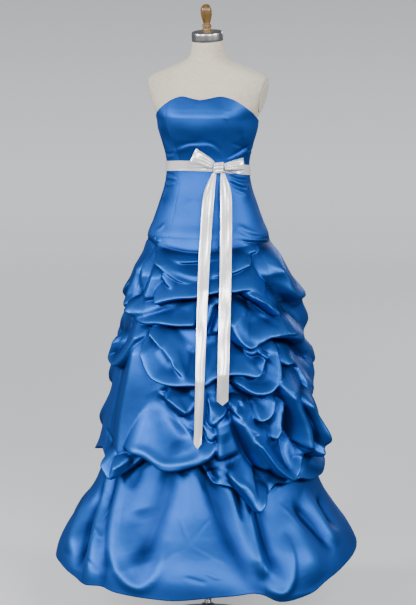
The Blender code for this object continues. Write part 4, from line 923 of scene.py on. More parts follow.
OVERSKIRT_CREASES = [
    # name, rise, width, line
    ("hip ridge", 3, 6, ((-13, 107.5), (-9, 106), (-3.5, 104.5), (1.5, 105), (7, 105.5), (13, 107))),
    ("hip crease", -5, 7, ((-13.5, 108), (-9, 106.5), (-5, 105.5), (1, 105.5), (7, 106), (14, 107.5))),
    ("hip fan one", -4, 6, ((11, 113.5), (14, 111.5), (17.5, 110.5))),
    ("hip fan two", 3, 6, ((9.5, 113), (13, 110.5), (17.5, 110))),
    ("hip fan three", -3, 5, ((7.5, 111), (11.5, 109.5), (17.5, 109.5))),
    ("hip gather one", -4, 5, ((-17, 111.5), (-15.5, 109.5), (-14, 108))),
    ("hip gather two", 3, 5, ((-16.5, 113), (-15, 111), (-13, 109.5))),
    ("roll crease", -5, 7, ((-11.5, 102), (-8.5, 100), (-4.5, 98.5), (-0.5, 99), (3, 100))),
    ("roll ridge", 3, 6, ((-12, 103), (-8.5, 101), (-4, 100), (1, 100.5))),
    ("facet valley", -6, 10, ((-19.5, 104.5), (-20, 99.5), (-19.5, 94), (-19, 89))),
    ("pouch valley", -7, 13, ((-18.5, 88.5), (-15, 89.5), (-10.5, 91), (-3.5, 93))),
    ("pouch ridge", 4, 10, ((-24, 93), (-22.5, 89.5), (-19.5, 87), (-15, 87.5), (-9, 87))),
    ("pouch line", 3, 8, ((-10.5, 89), (-7.5, 91), (-3.5, 92))),
    ("centre crease", -7, 7, ((3.5, 95), (1.5, 88.5), (-1, 82))),
    ("right line one", 4, 8, ((11.5, 95), (17, 91.5), (20.5, 88.5), (22, 85.5))),
    ("right line two", -5, 10, ((9.5, 92.5), (14, 89.5), (18, 87), (20, 85))),
    ("right crease", -5, 8, ((16.5, 93), (19.5, 91.5), (23, 89.5), (26, 86.5))),
    ("right star valley", -5, 14, ((18.5, 103), (20, 98), (18.5, 93))),
    ("right star ridge", 4, 8, ((19, 97), (19, 94), (17, 92))),
    ("right pouch ridge", 5, 12, ((12, 80), (13.5, 82.5), (15.5, 85), (19, 87))),
    ("right pouch line", -5, 10, ((7.5, 88.5), (9.5, 83.5), (13, 81), (16, 82))),
    ("tier two ridge one", 6, 9, ((-18.5, 85), (-15, 82), (-11.5, 77), (-7.5, 72), (-4, 70))),
    ("tier two ridge three", 3, 9, ((-12, 85), (-8, 82), (-3.5, 79))),
    ("small roll valley", -5, 10, ((-25.5, 83), (-26.5, 79), (-27, 76))),
    ("swag line one", -6, 8, ((11, 79), (13.5, 77.5), (16.5, 79), (17.5, 82))),
    ("swag line two", 4, 7, ((10, 77), (13.5, 75), (16, 76.5), (17.5, 79))),
    ("gather three", -4, 5, ((20, 81.5), (21, 77), (21.5, 73.5))),
    ("outer swag line", 4, 7, ((8, 70.5), (11.5, 68), (15.5, 67.5), (19.5, 69.5))),
    ("outer swag crease", -5, 8, ((9.5, 71), (13, 69), (17, 69.5), (19.5, 72.5))),
    ("rim line", -5, 8, ((21.5, 82), (25, 80), (27.5, 76.5), (29.5, 74))),
    ("flap line", 3, 6, ((21.5, 73), (24, 75), (25.5, 73.5), (26.5, 70))),
    ("point ridge", 5, 7, ((-14.5, 67.5), (-10, 64), (-4, 59.5))),
    ("point valley", -5, 9, ((-14, 66.5), (-10, 62.5), (-5, 58))),
    ("point top", -5, 6, ((-14, 67.5), (-10.5, 67.5), (-4, 68))),
    ("long valley", -8, 24, ((-14.5, 68), (-13, 62.5), (-10.5, 57), (-6.5, 51.5))),
    ("left line one", -3, 6, ((-29, 57), (-26.5, 52.5))),
    ("third ridge", 4, 9, ((-24.5, 51.5), (-18.5, 50), (-14, 47), (-10, 46.5), (-4.5, 47.5), (1, 51))),
    ("centre line", 4, 7, ((-2.5, 58.5), (0, 57), (3, 59.5), (6, 62.5))),
    ("centre valley", -5, 9, ((0, 65.5), (2, 64), (4.5, 63.5), (7.5, 65))),
    ("cascade valley", -6, 14, ((5, 55.5), (5.5, 49.5), (6.5, 44.5))),
    ("cascade ridge", 5, 9, ((8, 61), (11.5, 56.5), (17, 48), (20, 41.5))),
    ("cascade valley two", -7, 16, ((7.5, 59.5), (10, 53.5), (13.5, 46), (17, 39))),
    ("cascade lip", 4, 7, ((4.5, 42.5), (8.5, 41.5), (12, 39), (14.5, 35))),
    ("pocket valley", -6, 11, ((-0.5, 47), (1, 43), (3.5, 41))),
    ("swag valley", -8, 14, ((14, 56), (18, 51.5), (21.5, 47), (25, 44.5), (27, 49))),
    ("swag ridge", 4, 6, ((13, 55), (17, 49.5), (21.5, 44.5), (25, 42.5), (27, 44.5))),
    ("swag edge ridge", 5, 8, ((21.5, 70), (22, 65), (20.5, 56.5), (17.5, 50.5))),
    ("swag edge valley", -9, 20, ((23, 69), (24, 60.5), (23.5, 52.5))),
    ("swag side line", -4, 8, ((25.5, 61), (27, 55.5), (26.5, 49.5))),
    ("right side valley", -6, 13, ((25, 68.5), (29.5, 59.5), (32, 50.5), (33, 44.5))),
]
creases = Relief(1200, 500, 0.38, HIP_SEAM_HEIGHT, skirt_radius)
lay_creases(creases, OVERSKIRT_CREASES, seen_on_overskirt)


def overskirt_surface(angle, share):
    """The satin's outer face: the cone, the folds over it, the sag, and the small creases."""
    height = hip_line(angle) + (edge_height(angle) - hip_line(angle)) * share
    out = overskirt_out(angle, height)
    sunk = height - SAG * (out - SATIN_WALL - LAYER_GAP)
    fine = creases.at(angle, height) * smooth_step(share / 0.02)
    return ring_point(angle, skirt_radius(angle, height) + out + fine, sunk)


# The satin's own royal blue, then a paler blue painted on crests as a highlight and a dark navy painted in
# hollows as shade.
ROYAL_BLUE = (0.017, 0.100, 0.45)
PAINTED_HIGHLIGHT_BLUE = (0.035, 0.22, 0.74)
PAINTED_SHADE_BLUE = (0.005, 0.020, 0.115)


def satin_paint(name, base, dull):
    """Royal blue duchess satin: a fine warp with faint slubs, soft crinkles and broad tinted highlights.

    Cloth in a hollow is painted darker, as painted shade, and cloth on a crest is painted paler, as a
    painted highlight, by the `sunk` depth of each point; `dull` is the least roughness."""
    paint = Paint(name, base, dull, Metallic=0.85, Anisotropic=0.3, **{"Specular IOR Level": 0.06})
    place = paint.place()
    cloth = paint.place("UV")
    warp = paint.noise(paint.stretched(cloth, (2600, 140, 1)), 1.0, 2.0)
    weft = paint.noise(paint.stretched(cloth, (160, 2200, 1)), 1.0, 2.0)
    crinkle = paint.noise(place, 38.0, 3.0, 0.45)
    cloud = paint.noise(place, 7.0, 3.0)
    deep = tuple(0.86 * part for part in base)
    tone = paint.mix(paint.ramp(cloud, 0.3, 0.7), deep, base)
    sunk = paint.node("Attribute", {}, output=2, attribute_name="sunk")
    # Painted highlight: cloth standing above the cloth around it is painted paler blue.
    tone = paint.mix(paint.ramp(sunk, 0.0, -6 * MM, 0.0, 0.22), tone, PAINTED_HIGHLIGHT_BLUE)
    # Painted shade: cloth sunk below the cloth around it is painted dark navy, as the shade that falls in
    # creases and under folds.
    tone = paint.mix(paint.ramp(sunk, 0.5 * MM, 7 * MM, 0.0, 0.85), tone, PAINTED_SHADE_BLUE)
    weave = paint.bump(warp + 0.5 * weft, 0.00012, 0.5)
    relief = paint.node("Bump", {"Height": crinkle, "Distance": 0.0016, "Strength": 0.35, "Normal": weave})
    sheen = paint.ramp(warp, 0.3, 0.7, dull, dull + 0.06)
    return paint.finish(Base_Color=tone, Roughness=sheen, Normal=relief)


def unit(vectors):
    return vectors / np.linalg.norm(vectors, axis=-1, keepdims=True)


def spans(points, axis):
    """How far each point of a grid is from the next, down (axis 0) or across (axis 1)."""
    return np.linalg.norm(np.diff(points, axis=axis), axis=-1)


def turned_edge(points, wall, deep, rows=5):
    """The grid with its last row folded round to the inside and `deep` metres up it."""
    inwards = unit(points[-1] * (-1, -1, 0))
    back = unit(points[-4] - points[-1])
    fall = -back * wall / 2
    extra = [points[-1] + fall + inwards * wall / 2]
    for step in np.linspace(0, 1, rows):
        extra.append(points[-1] + inwards * wall + back * deep * step)
    return np.concatenate([points, np.array(extra)])


PUCKER_SPACING = 11 * MM  # for a turn of one radian
PUCKER_REACH = 7 * MM


def seam_dips(points, cuts, depth, wide, pucker):
    """Moves points near the columns of the seams inwards, deepest on the seam, with small puckers."""
    total = points.shape[1]
    inwards = unit(points * (-1, -1, 0))
    radius = np.hypot(points[..., 0], points[..., 1])
    wave = np.sin(points[..., 2] / PUCKER_SPACING + 2.0 * np.sin(points[..., 2] / (47 * MM)))
    for cut in cuts:
        away = (np.arange(total) - cut + total / 2) % total - total / 2
        apart = np.abs(away)[None, :] * 2 * math.pi / total * radius
        beside = bell(apart, PUCKER_REACH) * (1 - bell(apart, wide))
        dip = depth * bell(apart, wide) + pucker * wave * beside
        points = points + inwards * dip[..., None]
    return points


def cloth_size(points):
    """Width and length of the cloth in a grid of points, measured along its rows and columns."""
    across = spans(points, 1).sum(1)
    down = spans(points, 0).sum(0)
    return float(across.max()), float(down.max()), float(across.mean() * down.mean())


def sunk_below(points):
    """How far each point lies below the cloth around it, which is blurred over 5 columns and 7 rows. The
    satin paints shade and highlight by it.
    """
    out = np.hypot(points[..., 0], points[..., 1])
    return averaged(out, 5, 7) - out


def sewn_sheets(nodes, seams, counts, rows, surface, paint, dip, hem):
    """Sheets of cloth all round, cut along seams that give degrees for a share of the way down.

    They stand for the nodes, and have `counts` columns. `dip` is what seam_dips takes: depth, width
    and pucker. `hem` is what turned_edge takes: wall and depth."""
    shares = np.asarray(rows)[:, None]
    edges = [np.radians(seam(shares[:, 0])) for seam in seams]
    edges.append(edges[0] + 2 * math.pi)
    angles = []
    for start, end, count in zip(edges, edges[1:], counts):
        angles.append(start[:, None] + (end - start)[:, None] * np.arange(count) / count)
    points = surface(np.hstack(angles), shares)
    cuts = np.concatenate([[0], np.cumsum(counts)[:-1]])
    if dip is not None:
        points = seam_dips(points, cuts, *dip)
    if hem is not None:
        points = turned_edge(points, *hem)
    # Depths below the cloth around, which the satin paints as shade in hollows and as a highlight on crests.
    sunk = sunk_below(points)
    for node, start, count in zip(nodes, cuts, counts):
        columns = np.arange(start, start + count + 1) % points.shape[1]
        part = points[:, columns]
        wide = spans(part, 1).mean(0)
        long = spans(part, 0).mean(1)
        cloth = np.stack(np.meshgrid(np.concatenate([[0], np.cumsum(wide)]),
                                     -np.concatenate([[0], np.cumsum(long)])), -1)
        name = node.replace("_gore", "") + "_satin"
        piece = mesh_piece(name, part, grid_faces(*part.shape[:2]), paint, uv=cloth, sharp=75,
                           sunk=sunk[:, columns])
        width, length, area = cloth_size(part)
        stand_in(piece, node)


def straight_seam(degrees):
    """A seam at one angle all the way down."""
    return lambda share: np.full(np.shape(share), float(degrees))


sewn_sheets(("overskirt_side_right", "overskirt_front", "overskirt_side_left", "overskirt_back"),
            [straight_seam(degrees) for degrees in (-114, -50, 66, 124)], (96, 232, 92, 176),
            np.linspace(0, 1, 380), overskirt_surface,
            satin_paint("overskirt_satin", ROYAL_BLUE, 0.44),
            dip=(0.6 * MM, 1.5 * MM, 0.5 * MM), hem=None)


# ---------------------------------------------------------------- the bottom skirt
# Five flared satin gores, sewn in at the hip under the tiers. They show below them down to the
# hem, in soft flutes with puckered gore seams and a narrow turned hem.

# Folds below the overskirt: in or out of the cone in mm, and their lines in cm.
SKIRT_FOLDS = [
    # name, rise, width, line
    ("left outer valley", -26, 24, ((-28, 43), (-33, 33), (-35.5, 26.5), (-37, 16))),
    ("left edge ridge", 12, 30, ((-33, 39), (-36.5, 30), (-39.5, 20.5))),
    ("left seam ridge", 14, 26, ((-23.5, 57.5), (-26.5, 46.5), (-30, 32), (-33.5, 13), (-35.5, 1.5))),
    ("left seam valley", -8, 18, ((-23.5, 51.5), (-25.5, 41.5), (-28.5, 30), (-30.5, 12.5),
        (-31.5, 2))),
    ("left plane", 17, 44, ((-20, 56), (-22, 48), (-25, 36), (-26, 25), (-27, 16.5))),
    ("cup rim", 6, 14, ((-27.5, 24.5), (-26.5, 18), (-23.5, 13), (-19.5, 11), (-16, 13), (-13, 18),
        (-11.5, 24.5))),
    ("cup hollow", -14, 46, ((-20, 34), (-21, 25.5), (-20, 17))),
    ("front valley", -19, 34, ((-8.5, 51.5), (-11, 43), (-13.5, 35), (-16.5, 26.5), (-19, 19.5),
        (-21.5, 11))),
    ("front plane", 11, 60, ((-4, 56.5), (-4.5, 45.5), (-4.5, 30), (-5, 14), (-5.5, 3))),
    ("right valley one", -19, 30, ((-5, 58), (-1.5, 45.5), (2, 34), (6.5, 23), (13.5, 11), (20, -0.5))),
    ("seam ridge", 11, 18, ((2.5, 49.5), (6, 40), (9, 30), (12.5, 20), (15, 11.5), (18.5, 1.5))),
    ("seam valley", -11, 14, ((5.5, 49.5), (8, 40), (10.5, 30), (13, 20), (15.5, 12.5), (18.5, 3))),
    ("fold ridge", 17, 17, ((10, 37.5), (12, 27.5), (14.5, 18), (18, 14))),
    ("fold valley", -17, 22, ((13, 38), (14.5, 33), (17, 23.5), (19.5, 17.5), (21.5, 12))),
    ("lip rim", 10, 12, ((15.5, 13), (18, 10), (21.5, 9.5), (23.5, 13), (23.5, 19.5), (21.5, 27.5))),
    ("right plane", 14, 40, ((20, 37), (26, 25.5), (31.5, 12.5))),
    ("right valley two", -16, 22, ((23, 35), (29, 29.5), (36, 21.5))),
    ("right ridge", 14, 30, ((26.5, 39), (32, 30.5), (36, 22.5))),
    ("right valley three", -14, 22, ((30.5, 38), (33.5, 32.5), (36, 27.5))),
]

# The hem's line from left to right, in cm.
HEM_LINE = (
    (-43.5, 21.5), (-42, 18.5), (-37.5, 14), (-36, 12.5), (-31, 11.5), (-26.5, 9.5), (-19, 8),
    (-10, 7), (0.5, 8), (8, 8.5), (13.5, 9), (17, 8.5), (19.5, 6.5), (23.5, 7), (30, 9.5),
    (33.5, 13), (39, 18), (41.5, 21.5), (42.5, 25.5),
)
FLUTES_TOP = 0.62
hem_height = all_round(HEM_LINE, 0.0)


def seen_on_cone(across, up):
    return seen(across, up, 0.0)


flutes = Relief(900, 300, 0.05, FLUTES_TOP, skirt_radius)
lay_creases(flutes, SKIRT_FOLDS, seen_on_cone)
flutes.smooth(3)


def flute_out(angle, height):
    """How far the bottom skirt's flutes stand off its cone. They start under the overskirt's edge."""
    start = smooth_step((edge_height(angle) + 28 * MM - height) / (50 * MM))
    return flutes.at(angle, height) * start


def seen_on_skirt(across, up):
    return seen_on(across, up, flute_out, 0.0, 0.0, 8)


SKIRT_CREASES = [
    # name, rise, width, line
    ("star one", 0.9, 4, ((1.5, 32), (-2, 28), (-5.5, 23))),
    ("star two", -0.6, 4, ((-8.5, 33), (-7, 28), (-5.5, 23.5))),
    ("star three", 0.6, 5, ((-5.5, 23), (-10, 20.5), (-16.5, 16))),
    ("star four", -0.7, 4, ((-5, 23), (-2.5, 21.5), (1, 19.5))),
    ("star five", 0.6, 5, ((-4.5, 23), (0.5, 20.5), (7, 17))),
    ("press line", 1.2, 3, ((-22.5, 47), (-24, 36), (-25.5, 26))),
    ("hem crease one", -1.5, 5, ((-7, 14), (-3.5, 13), (0, 12))),
    ("hem crease two", 1.3, 4, ((-1, 15.5), (2, 14), (4, 13.5))),
    ("left crease one", -1.6, 4, ((-34.5, 19.5), (-33, 17.5), (-31.5, 15))),
    ("left crease two", 1.6, 4, ((-32.5, 29), (-31, 26.5), (-29.5, 25.5))),
    ("left crease three", -1.4, 4, ((-29.5, 39), (-28.5, 37.5), (-27, 36.5))),
    ("right crease one", 1.5, 5, ((20, 35.5), (24, 31.5), (28, 26.5))),
    ("right crease two", -1.5, 5, ((26, 29.5), (29.5, 25.5), (33.5, 21.5))),
]
skirt_creases = Relief(1100, 360, 0.17, FLUTES_TOP, skirt_radius)
lay_creases(skirt_creases, SKIRT_CREASES, seen_on_skirt)


def skirt_surface(angle, share):
    """The bottom skirt's outer face: the cone, its flutes and its small creases."""
    height = hip_line(angle) + (hem_height(angle) - hip_line(angle)) * share
    out = flute_out(angle, height)
    fine = skirt_creases.at(angle, height) * (height < 0.6)
    return ring_point(angle, skirt_radius(angle, height) + out + fine, height)


sewn_sheets(("skirt_back_right", "skirt_side_right", "skirt_front_gore", "skirt_side_left",
             "skirt_back_left"),
            [straight_seam(degrees) for degrees in (-180, -100, -35, 38, 100)], (104, 86, 98, 84, 108),
            np.concatenate([np.linspace(0, 0.60, 12, endpoint=False), np.linspace(0.60, 1, 140)]),
            skirt_surface, satin_paint("bottom_skirt_satin", (0.017, 0.097, 0.44), 0.50),
            dip=(1.0 * MM, 1.6 * MM, 0.7 * MM), hem=(1.6 * MM, 12 * MM))


# ---------------------------------------------------------------- the bodice
# Seven satin panels from the strapless neckline to the hip, sewn by princess seams. They fit
# smoothly, pull into small wrinkles at the bust, the waist and the sides, and pucker along their seams.

NECKLINE_TURN = 5  # degrees that the bodice sits round towards the wearer's left
NECKLINE = [
    # degrees from the bodice's centre front, height
    (0, 1.4890), (12, 1.4925), (30, 1.4985), (45, 1.4890), (60, 1.4640), (75, 1.4440),
    (90, 1.4310), (120, 1.4120), (150, 1.4020), (180, 1.4000),
]
BODICE_SEAMS = [
    # share of the way down, centre back, side back, side and front right, front, side and side back left
    (0.00, -180, -143, -92, -44, 37, 92, 143),
    (0.35, -180, -146, -92, -38, 38, 92, 146),
    (0.50, -180, -150, -92, -35, 37, 92, 150),
    (0.75, -180, -154, -92, -32, 31, 92, 154),
    (1.00, -180, -156, -92, -31, 27, 92, 156),
]


def neckline(angle):
    """Height of the neckline: a smooth curve through the table, alike on both sides."""
    away = np.abs(np.degrees(wrapped(angle - math.radians(NECKLINE_TURN))))
    return eased(away, column(NECKLINE, 0), column(NECKLINE, 1))


def seen_on_bodice(across, up):
    return seen(across, up, 0.0, cloth_radius)


BODICE_CREASES = [
    # name, rise, width, line
    ("bust ridge", 2.3, 6, ((-11.5, 134.5), (-9.5, 134.5), (-7.5, 135), (-5, 136), (-2.5, 136),
        (0.5, 136), (2.5, 134.5), (4.5, 132))),
    ("bust valley", -2.2, 8, ((-10.5, 136), (-7.5, 136.5), (-4.5, 137), (-1.5, 137.5), (1.5, 136.5),
        (4.5, 134.5))),
    ("streak one", 1.6, 5, ((4, 131.5), (8, 133.5), (12.5, 136))),
    ("streak two", -2.2, 5, ((5, 132.5), (8.5, 134.5), (12.5, 137))),
    ("streak three", 1.6, 4, ((7.5, 132.5), (10, 134), (12.5, 134.5))),
    ("streak four", -1.6, 5, ((6, 137), (9, 136), (12.5, 134.5))),
    ("side gather one", -1.8, 3.5, ((-12, 128.5), (-11, 128.5), (-9, 128))),
    ("side gather two", 1.6, 3.5, ((-12, 127.5), (-11, 127.5), (-8.5, 127))),
    ("side gather three", -1.8, 3.5, ((-12.5, 126.5), (-11, 126.5), (-9, 126.5))),
    ("side gather four", 1.5, 3.5, ((-12.5, 125.5), (-11, 125.5), (-9, 126))),
    ("side gather five", -1.5, 3.5, ((-12.5, 124.5), (-11.5, 124.5), (-9.5, 125))),
    ("top gather one", -1.6, 3.5, ((-12, 134.5), (-11, 134), (-9, 134.5))),
    ("top gather two", 1.5, 3.5, ((-12, 133.5), (-11, 133), (-9, 133.5))),
    ("slant one", -2.8, 5, ((5.5, 128), (8, 127), (11.5, 126.5))),
    ("slant two", 2.4, 5, ((6, 127.5), (8, 126), (11.5, 125))),
    ("slant three", -2.4, 5, ((5.5, 126.5), (8, 125), (11, 124))),
    ("slant four", 1.6, 5, ((6.5, 124.5), (8.5, 123.5), (11, 123))),
    ("pucker one", 0.6, 3, ((4.5, 145.5), (5.5, 145.5), (7, 145.5))),
    ("pucker two", 0.6, 3, ((4, 144), (5, 143.5), (6, 143.5))),
    ("hip line one", -1.6, 6, ((8, 113), (11, 111.5), (16, 110.5))),
    ("hip line two", 1.6, 6, ((7.5, 114.5), (12, 112.5), (16, 111.5))),
    ("hip line three", 1.5, 6, ((-15, 112.5), (-13, 113.5), (-12, 115))),
]
bodice_creases = Relief(900, 420, HIP_SEAM_HEIGHT, 1.51, cloth_radius)
lay_creases(bodice_creases, BODICE_CREASES, seen_on_bodice, back=False)


def bodice_surface(angle, share):
    """The bodice's outer face: the eased torso and the small creases, from the neckline down."""
    height = neckline(angle) + (HIP_SEAM_HEIGHT - neckline(angle)) * share
    fine = bodice_creases.at(angle, height) * smooth_step(share / 0.02) * smooth_step((1 - share) / 0.01)
    return ring_point(angle, cloth_radius(angle, height) + fine, height)


def bodice_seam(index):
    """A seam that runs smoothly through a column of the table."""
    return lambda share: eased(share, column(BODICE_SEAMS, 0), column(BODICE_SEAMS, index))


sewn_sheets(("bodice_back_right", "bodice_side_back_right", "bodice_side_front_right", "bodice_centre_front",
             "bodice_side_front_left", "bodice_side_back_left", "bodice_back_left"),
            [bodice_seam(index) for index in range(1, 8)], (34, 48, 56, 78, 60, 48, 36),
            np.linspace(0, 1, 190), bodice_surface, satin_paint("bodice_satin", ROYAL_BLUE, 0.51),
            dip=(0.4 * MM, 1.4 * MM, 0.25 * MM), hem=None)


# ---------------------------------------------------------------- sash, bow and tails
# A white satin ribbon round the waist, tied at the front: a flat sash with faint long creases,
# a pleated knot, two soft loops and two tails that lie on the folds below.

SASH_WIDTH = 27 * MM
SASH_GAP = 1.6 * MM
RIBBON_WALL = 1 * MM
RIBBON_SHOWN_WALL = 0.6 * MM
KNOT_ANGLE = math.radians(32)
KNOT = {"wide": 31 * MM, "tall": 28 * MM, "deep": 15 * MM, "seat": 1.3 * MM}
TAIL_SHARES = (0, 0.065, 0.15, 1)  # shares of the way down a tail


def ribbon_paint():
    """White satin ribbon: fine ribs along it, a pearly sheen and faint grey-blue clouds."""
    paint = Paint("ribbon_satin", (0.94, 0.95, 0.97), 0.26, Metallic=0.35, Anisotropic=0.4,
                  **{"Sheen Weight": 0.25})
    place = paint.place()
    cloth = paint.place("UV")
    ribs = paint.noise(paint.stretched(cloth, (160, 2400, 1)), 1.0, 2.0)
    cloud = paint.noise(place, 40.0, 3.0)
    tone = paint.mix(paint.ramp(cloud, 0.3, 0.7), (0.88, 0.89, 0.93), (0.95, 0.96, 0.99))
    weave = paint.bump(ribs, 0.00015, 0.5)
    relief = paint.node("Bump", {"Height": cloud, "Distance": 0.0009, "Strength": 0.4, "Normal": weave})
    return paint.finish(Base_Color=tone, Normal=relief)


def sash_height(angle):
    """Height of the sash's middle: level, and a cosine and a sine of the angle that tilt it."""
    turn = angle - SIGHT_TURN
    return 1.300 + 0.010 * np.cos(turn) - 0.006 * np.sin(turn)


def ribbon(name, node, points, paint, closed=False):
    """A closed thin ribbon: the grid of points, and the same grid a wall's thickness behind it."""
    rows, columns = points.shape[:2]
    along = np.roll(points, -1, 1) - np.roll(points, 1, 1) if closed else np.gradient(points, axis=1)
    normals = np.cross(np.gradient(points, axis=0), along)
    normals /= np.linalg.norm(normals, axis=-1, keepdims=True) + 1e-12
    both = np.concatenate([points.reshape(-1, 3), (points - RIBBON_SHOWN_WALL * normals).reshape(-1, 3)])
    front = grid_faces(rows, columns, closed)
    count = rows * columns
    edge = np.arange(columns if closed else columns - 1)
    right = (edge + 1) % columns
    last = (rows - 1) * columns
    rim = [np.stack([edge, right, right + count, edge + count], 1),
           np.stack([last + right, last + edge, last + edge + count, last + right + count], 1)]
    if not closed:
        side = np.arange(rows - 1) * columns
        far = side + columns - 1
        rim.append(np.stack([side + columns, side, side + count, side + columns + count], 1))
        rim.append(np.stack([far, far + columns, far + columns + count, far + count], 1))
    faces = np.concatenate([front, front[:, ::-1] + count] + rim)
    width, length, area = cloth_size(points)
    wide = np.zeros((rows, columns))
    wide[:, 1:] = np.cumsum(spans(points, 1), 1)
    long = np.zeros((rows, columns))
    long[1:] = np.cumsum(spans(points, 0), 0)
    cloth = np.tile(np.stack([wide, -long], -1).reshape(-1, 2), (2, 1))
    piece = mesh_piece(name, both, faces, paint, uv=cloth, sharp=60)
    stand_in(piece, node)


def knot_frame():
    """Middle of the sash's outer face under the knot, and its outward and sideways directions."""
    height = float(sash_height(KNOT_ANGLE))
    radius = float(cloth_radius(np.array(KNOT_ANGLE), np.array(height))) + SASH_GAP + RIBBON_WALL
    middle = ring_point(KNOT_ANGLE, radius, height)
    outward = ring_point(KNOT_ANGLE, 1.0, 0.0)
    sideways = np.array([math.cos(KNOT_ANGLE), math.sin(KNOT_ANGLE), 0])
    return middle, outward, sideways


def sash(paint):
    """The band: long shallow creases that wander round it, deeper near the knot, where it is narrower."""
    angle = np.linspace(-math.pi, math.pi, 420, endpoint=False)[None, :]
    share = np.linspace(-1, 1, 25)[:, None]
    narrow = 1 - 0.10 * bell(wrapped(angle - KNOT_ANGLE), 0.30)
    height = sash_height(angle) - share * SASH_WIDTH / 2 * narrow
    near = bell(wrapped(angle - KNOT_ANGLE), 0.35)
    creases = (0.25 + 0.75 * near) * np.sin(share * 9 + 1.3 * np.sin(2 * angle + 0.4)) * 0.7
    creases = creases + 0.35 * np.sin(share * 4.1 - 2.0 * np.sin(3 * angle)) - 0.5 * np.abs(share) ** 6
    out = SASH_GAP + RIBBON_WALL * (0.75 + 0.5 * creases)
    points = ring_point(angle, cloth_radius(angle, height) + out, height)
    ribbon("sash_ribbon", "sash_band", points, paint, closed=True)


def knot(paint):
    """The knot: a rounded box, fuller in the middle, with pleats across it as a bent sine."""
    middle, outward, sideways = knot_frame()
    turn = np.linspace(0, 2 * math.pi, 72, endpoint=False)[None, :]
    share = np.linspace(-1, 1, 41)[:, None]
    size = 1 - 0.20 * np.abs(share) ** 6
    pleat = 1 + 0.045 * np.sin(9 * share + 1.8 * np.sin(turn + 0.5)) * np.maximum(np.sin(turn), 0)
    round_box = np.sign(np.cos(turn)) * np.abs(np.cos(turn)) ** 0.7
    across = round_box * KNOT["wide"] / 2 * size * (1 - 0.10 * share)
    out = (np.sin(turn) * 0.5 + 0.5) * KNOT["deep"] * (0.6 + 0.4 * size) * pleat + KNOT["seat"]
    drop = -share * KNOT["tall"] / 2 * (1 + 0 * turn) + 1.5 * MM * np.cos(turn) * np.abs(share)
    points = middle + across[..., None] * sideways + out[..., None] * outward + drop[..., None] * (0, 0, 1)
    cap = points[[0, -1]].mean(1, keepdims=True)
    rows = np.concatenate([cap[:1] + (points[:1] - cap[:1]) * 0.05, points[:1] * 0.5 + cap[:1] * 0.5, points,
                           points[-1:] * 0.5 + cap[1:] * 0.5, cap[1:] + (points[-1:] - cap[1:]) * 0.05])
    piece = mesh_piece("bow_knot_satin", rows[:, ::-1], grid_faces(*rows.shape[:2], closed=True), paint,
                       sharp=60)
    stand_in(piece, "bow_knot")


def bow_loop(node, side, length, lift, end_width, gap, droop, paint):
    """A ribbon loop, gathered where it leaves the knot.

    It goes out along the front and back behind as a cosine, and its ripple is a sine across it."""
    middle, outward, sideways = knot_frame()
    share = np.linspace(0.0, 1.0, 121)
    reach = ((1 - np.cos(2 * math.pi * share)) / 2) ** 0.85
    out = 12 * MM + (5.5 * np.sin(2 * math.pi * share) + 3.2 * np.cos(math.pi * share)) * MM
    direction = side * math.cos(lift) * sideways + np.array([0, 0, math.sin(lift)])
    width_way = np.cross(direction, outward) * side
    start = KNOT["wide"] / 2 / math.cos(lift) + gap
    spine = middle + (start + reach[:, None] * length) * direction + out[:, None] * outward
    spine[:, 2] -= droop * smooth_step((share - 0.45) / 0.3) * reach
    width = 15 * MM + (end_width - 15 * MM) * np.sin(math.pi * share) ** 0.8
    wide = np.linspace(-0.5, 0.5, 25)
    gather = (1 - reach) ** 1.5
    ripple = 2.4 * MM * gather * np.sin(wide[:, None] * 22)
    ripple = ripple + 1.0 * MM * (1 - gather) * np.sin(wide[:, None] * 8 + 0.6)
    around = np.sin(2 * math.pi * share)
    swell = np.sign(around + 1e-6) * np.abs(around) ** 0.5
    points = (spine[None] + wide[:, None, None] * width[None, :, None] * width_way
              + (ripple * swell)[..., None] * outward)
    ribbon(node + "_satin", node, points, paint)


def tail_path(across_line, end_height, start_height, start_out):
    """A tail's middle line: it rests on the folds that stand out, and bridges the hollows."""
    angle = np.linspace(-0.9, 0.9, 121)[None, :] + SIGHT_TURN
    heights = np.linspace(start_height, end_height, 120)
    surface = np.concatenate([
        bodice_surface(angle, np.linspace(0.4, 1, 60)[:, None]),
        overskirt_surface(angle, np.linspace(0, 1, 260)[:, None]),
    ])
    across = surface @ ACROSS
    depth = surface @ TOWARDS
    up = surface[..., 2]
    middle = eased((start_height - heights) / (start_height - end_height), TAIL_SHARES, across_line)
    front = np.zeros(len(heights))
    for i, (height, centre) in enumerate(zip(heights, middle)):
        near = (np.abs(up - height) < 8 * MM) & (np.abs(across - centre) < 18 * MM)
        front[i] = depth[near].max() if near.any() else front[i - 1]
    front[0] = max(front[0] + 5 * MM, start_out)
    bridge = front.copy()
    for i in range(len(heights)):
        for j in range(i + 2, len(heights)):
            between = np.arange(i + 1, j)
            chord = front[i] + (front[j] - front[i]) * (between - i) / (j - i)
            bridge[between] = np.maximum(bridge[between], chord)
    for _ in range(6):
        bridge[1:-1] = np.maximum(bridge[1:-1], (bridge[:-2] + bridge[2:]) / 2)
    bridge = bridge + 3 * MM
    return middle[:, None] * ACROSS + bridge[:, None] * TOWARDS + heights[:, None] * (0, 0, 1)


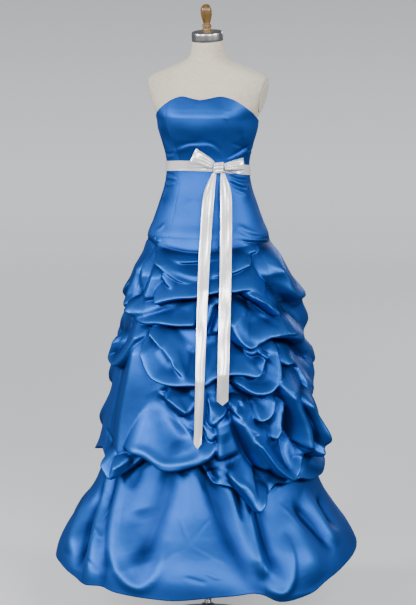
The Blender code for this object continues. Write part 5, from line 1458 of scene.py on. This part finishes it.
def tail(node, across_line, end_height, widths, point, paint):
    """A tail: narrow and pleated at the knot, a little round lower down, cut to a point.

    Its middle line and its widths are given at TAIL_SHARES, and `point` is how deep the cut is. Its
    pleats are a sine across it that dies away down it, over a parabola that rounds it."""
    middle = knot_frame()[0]
    start = middle[2] - KNOT["tall"] / 2 - SEAM_GAP
    path = tail_path(across_line, end_height, start, middle @ TOWARDS + 6 * MM)
    share = np.linspace(0, 1, len(path))
    width = eased(share, TAIL_SHARES, widths)
    wide = np.linspace(-0.5, 0.5, 21)
    points = path[:, None] + wide[None, :, None] * width[:, None, None] * ACROSS
    share = share[:, None]
    proud = 2.4 * MM * np.exp(-share / 0.16) * np.sin(wide * 15 + 0.7)
    proud = proud + 3.2 * MM * (1 - 4 * wide ** 2)
    proud = proud + 0.9 * MM * np.sin(wide * 5 + 9 * share)
    proud = proud + 1.2 * MM * np.sin(31 * share + 2 * wide) * smooth_step(share / 0.2)
    points = points + proud[..., None] * TOWARDS
    points[..., 2] += smooth_step((share - 0.93) / 0.07) * np.abs(wide) * 2 * point
    ribbon(node + "_satin", node, points, paint)


white = ribbon_paint()
sash(white)
knot(white)
bow_loop("bow_loop_right", -1, 61 * MM, math.radians(27), 36 * MM, 0.8 * MM, 0.0, white)
bow_loop("bow_loop_left", 1, 56 * MM, math.radians(9), 31 * MM, 0.5 * MM, 17 * MM, white)
tail("bow_tail_right", (0.017, 0.004, -0.0025, -0.0275), 0.585, (0.011, 0.027, 0.030, 0.020), 14 * MM, white)
tail("bow_tail_left", (0.039, 0.046, 0.0485, 0.038), 0.694, (0.011, 0.027, 0.031, 0.030), 12 * MM, white)


# ---------------------------------------------------------------- the zip's slider and pull
# The slider of the centre back zip and its pull tab, cast in metal and lacquered blue. Both keep the
# imported model's shape.


def lacquer_paint():
    """Blue lacquer over metal, a little worn on its raised places."""
    paint = Paint("blue_lacquer", (0.06, 0.20, 0.52), 0.28, Metallic=0.5,
                  **{"Coat Weight": 0.5, "Coat Roughness": 0.15})
    grain = paint.noise(paint.place(), 900.0, 3.0)
    tone = paint.mix(paint.ramp(grain, 0.55, 0.7), (0.05, 0.17, 0.48), (0.22, 0.34, 0.60))
    return paint.finish(Base_Color=tone, Normal=paint.bump(grain, 0.00008, 0.4))


lacquer = lacquer_paint()
for node in ("zip_slider", "zip_pull"):
    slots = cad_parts[node].data.materials
    slots.clear()
    slots.append(lacquer)


def corners(low_high):
    return [[round(float(value), 5) for value in corner] for corner in low_high]
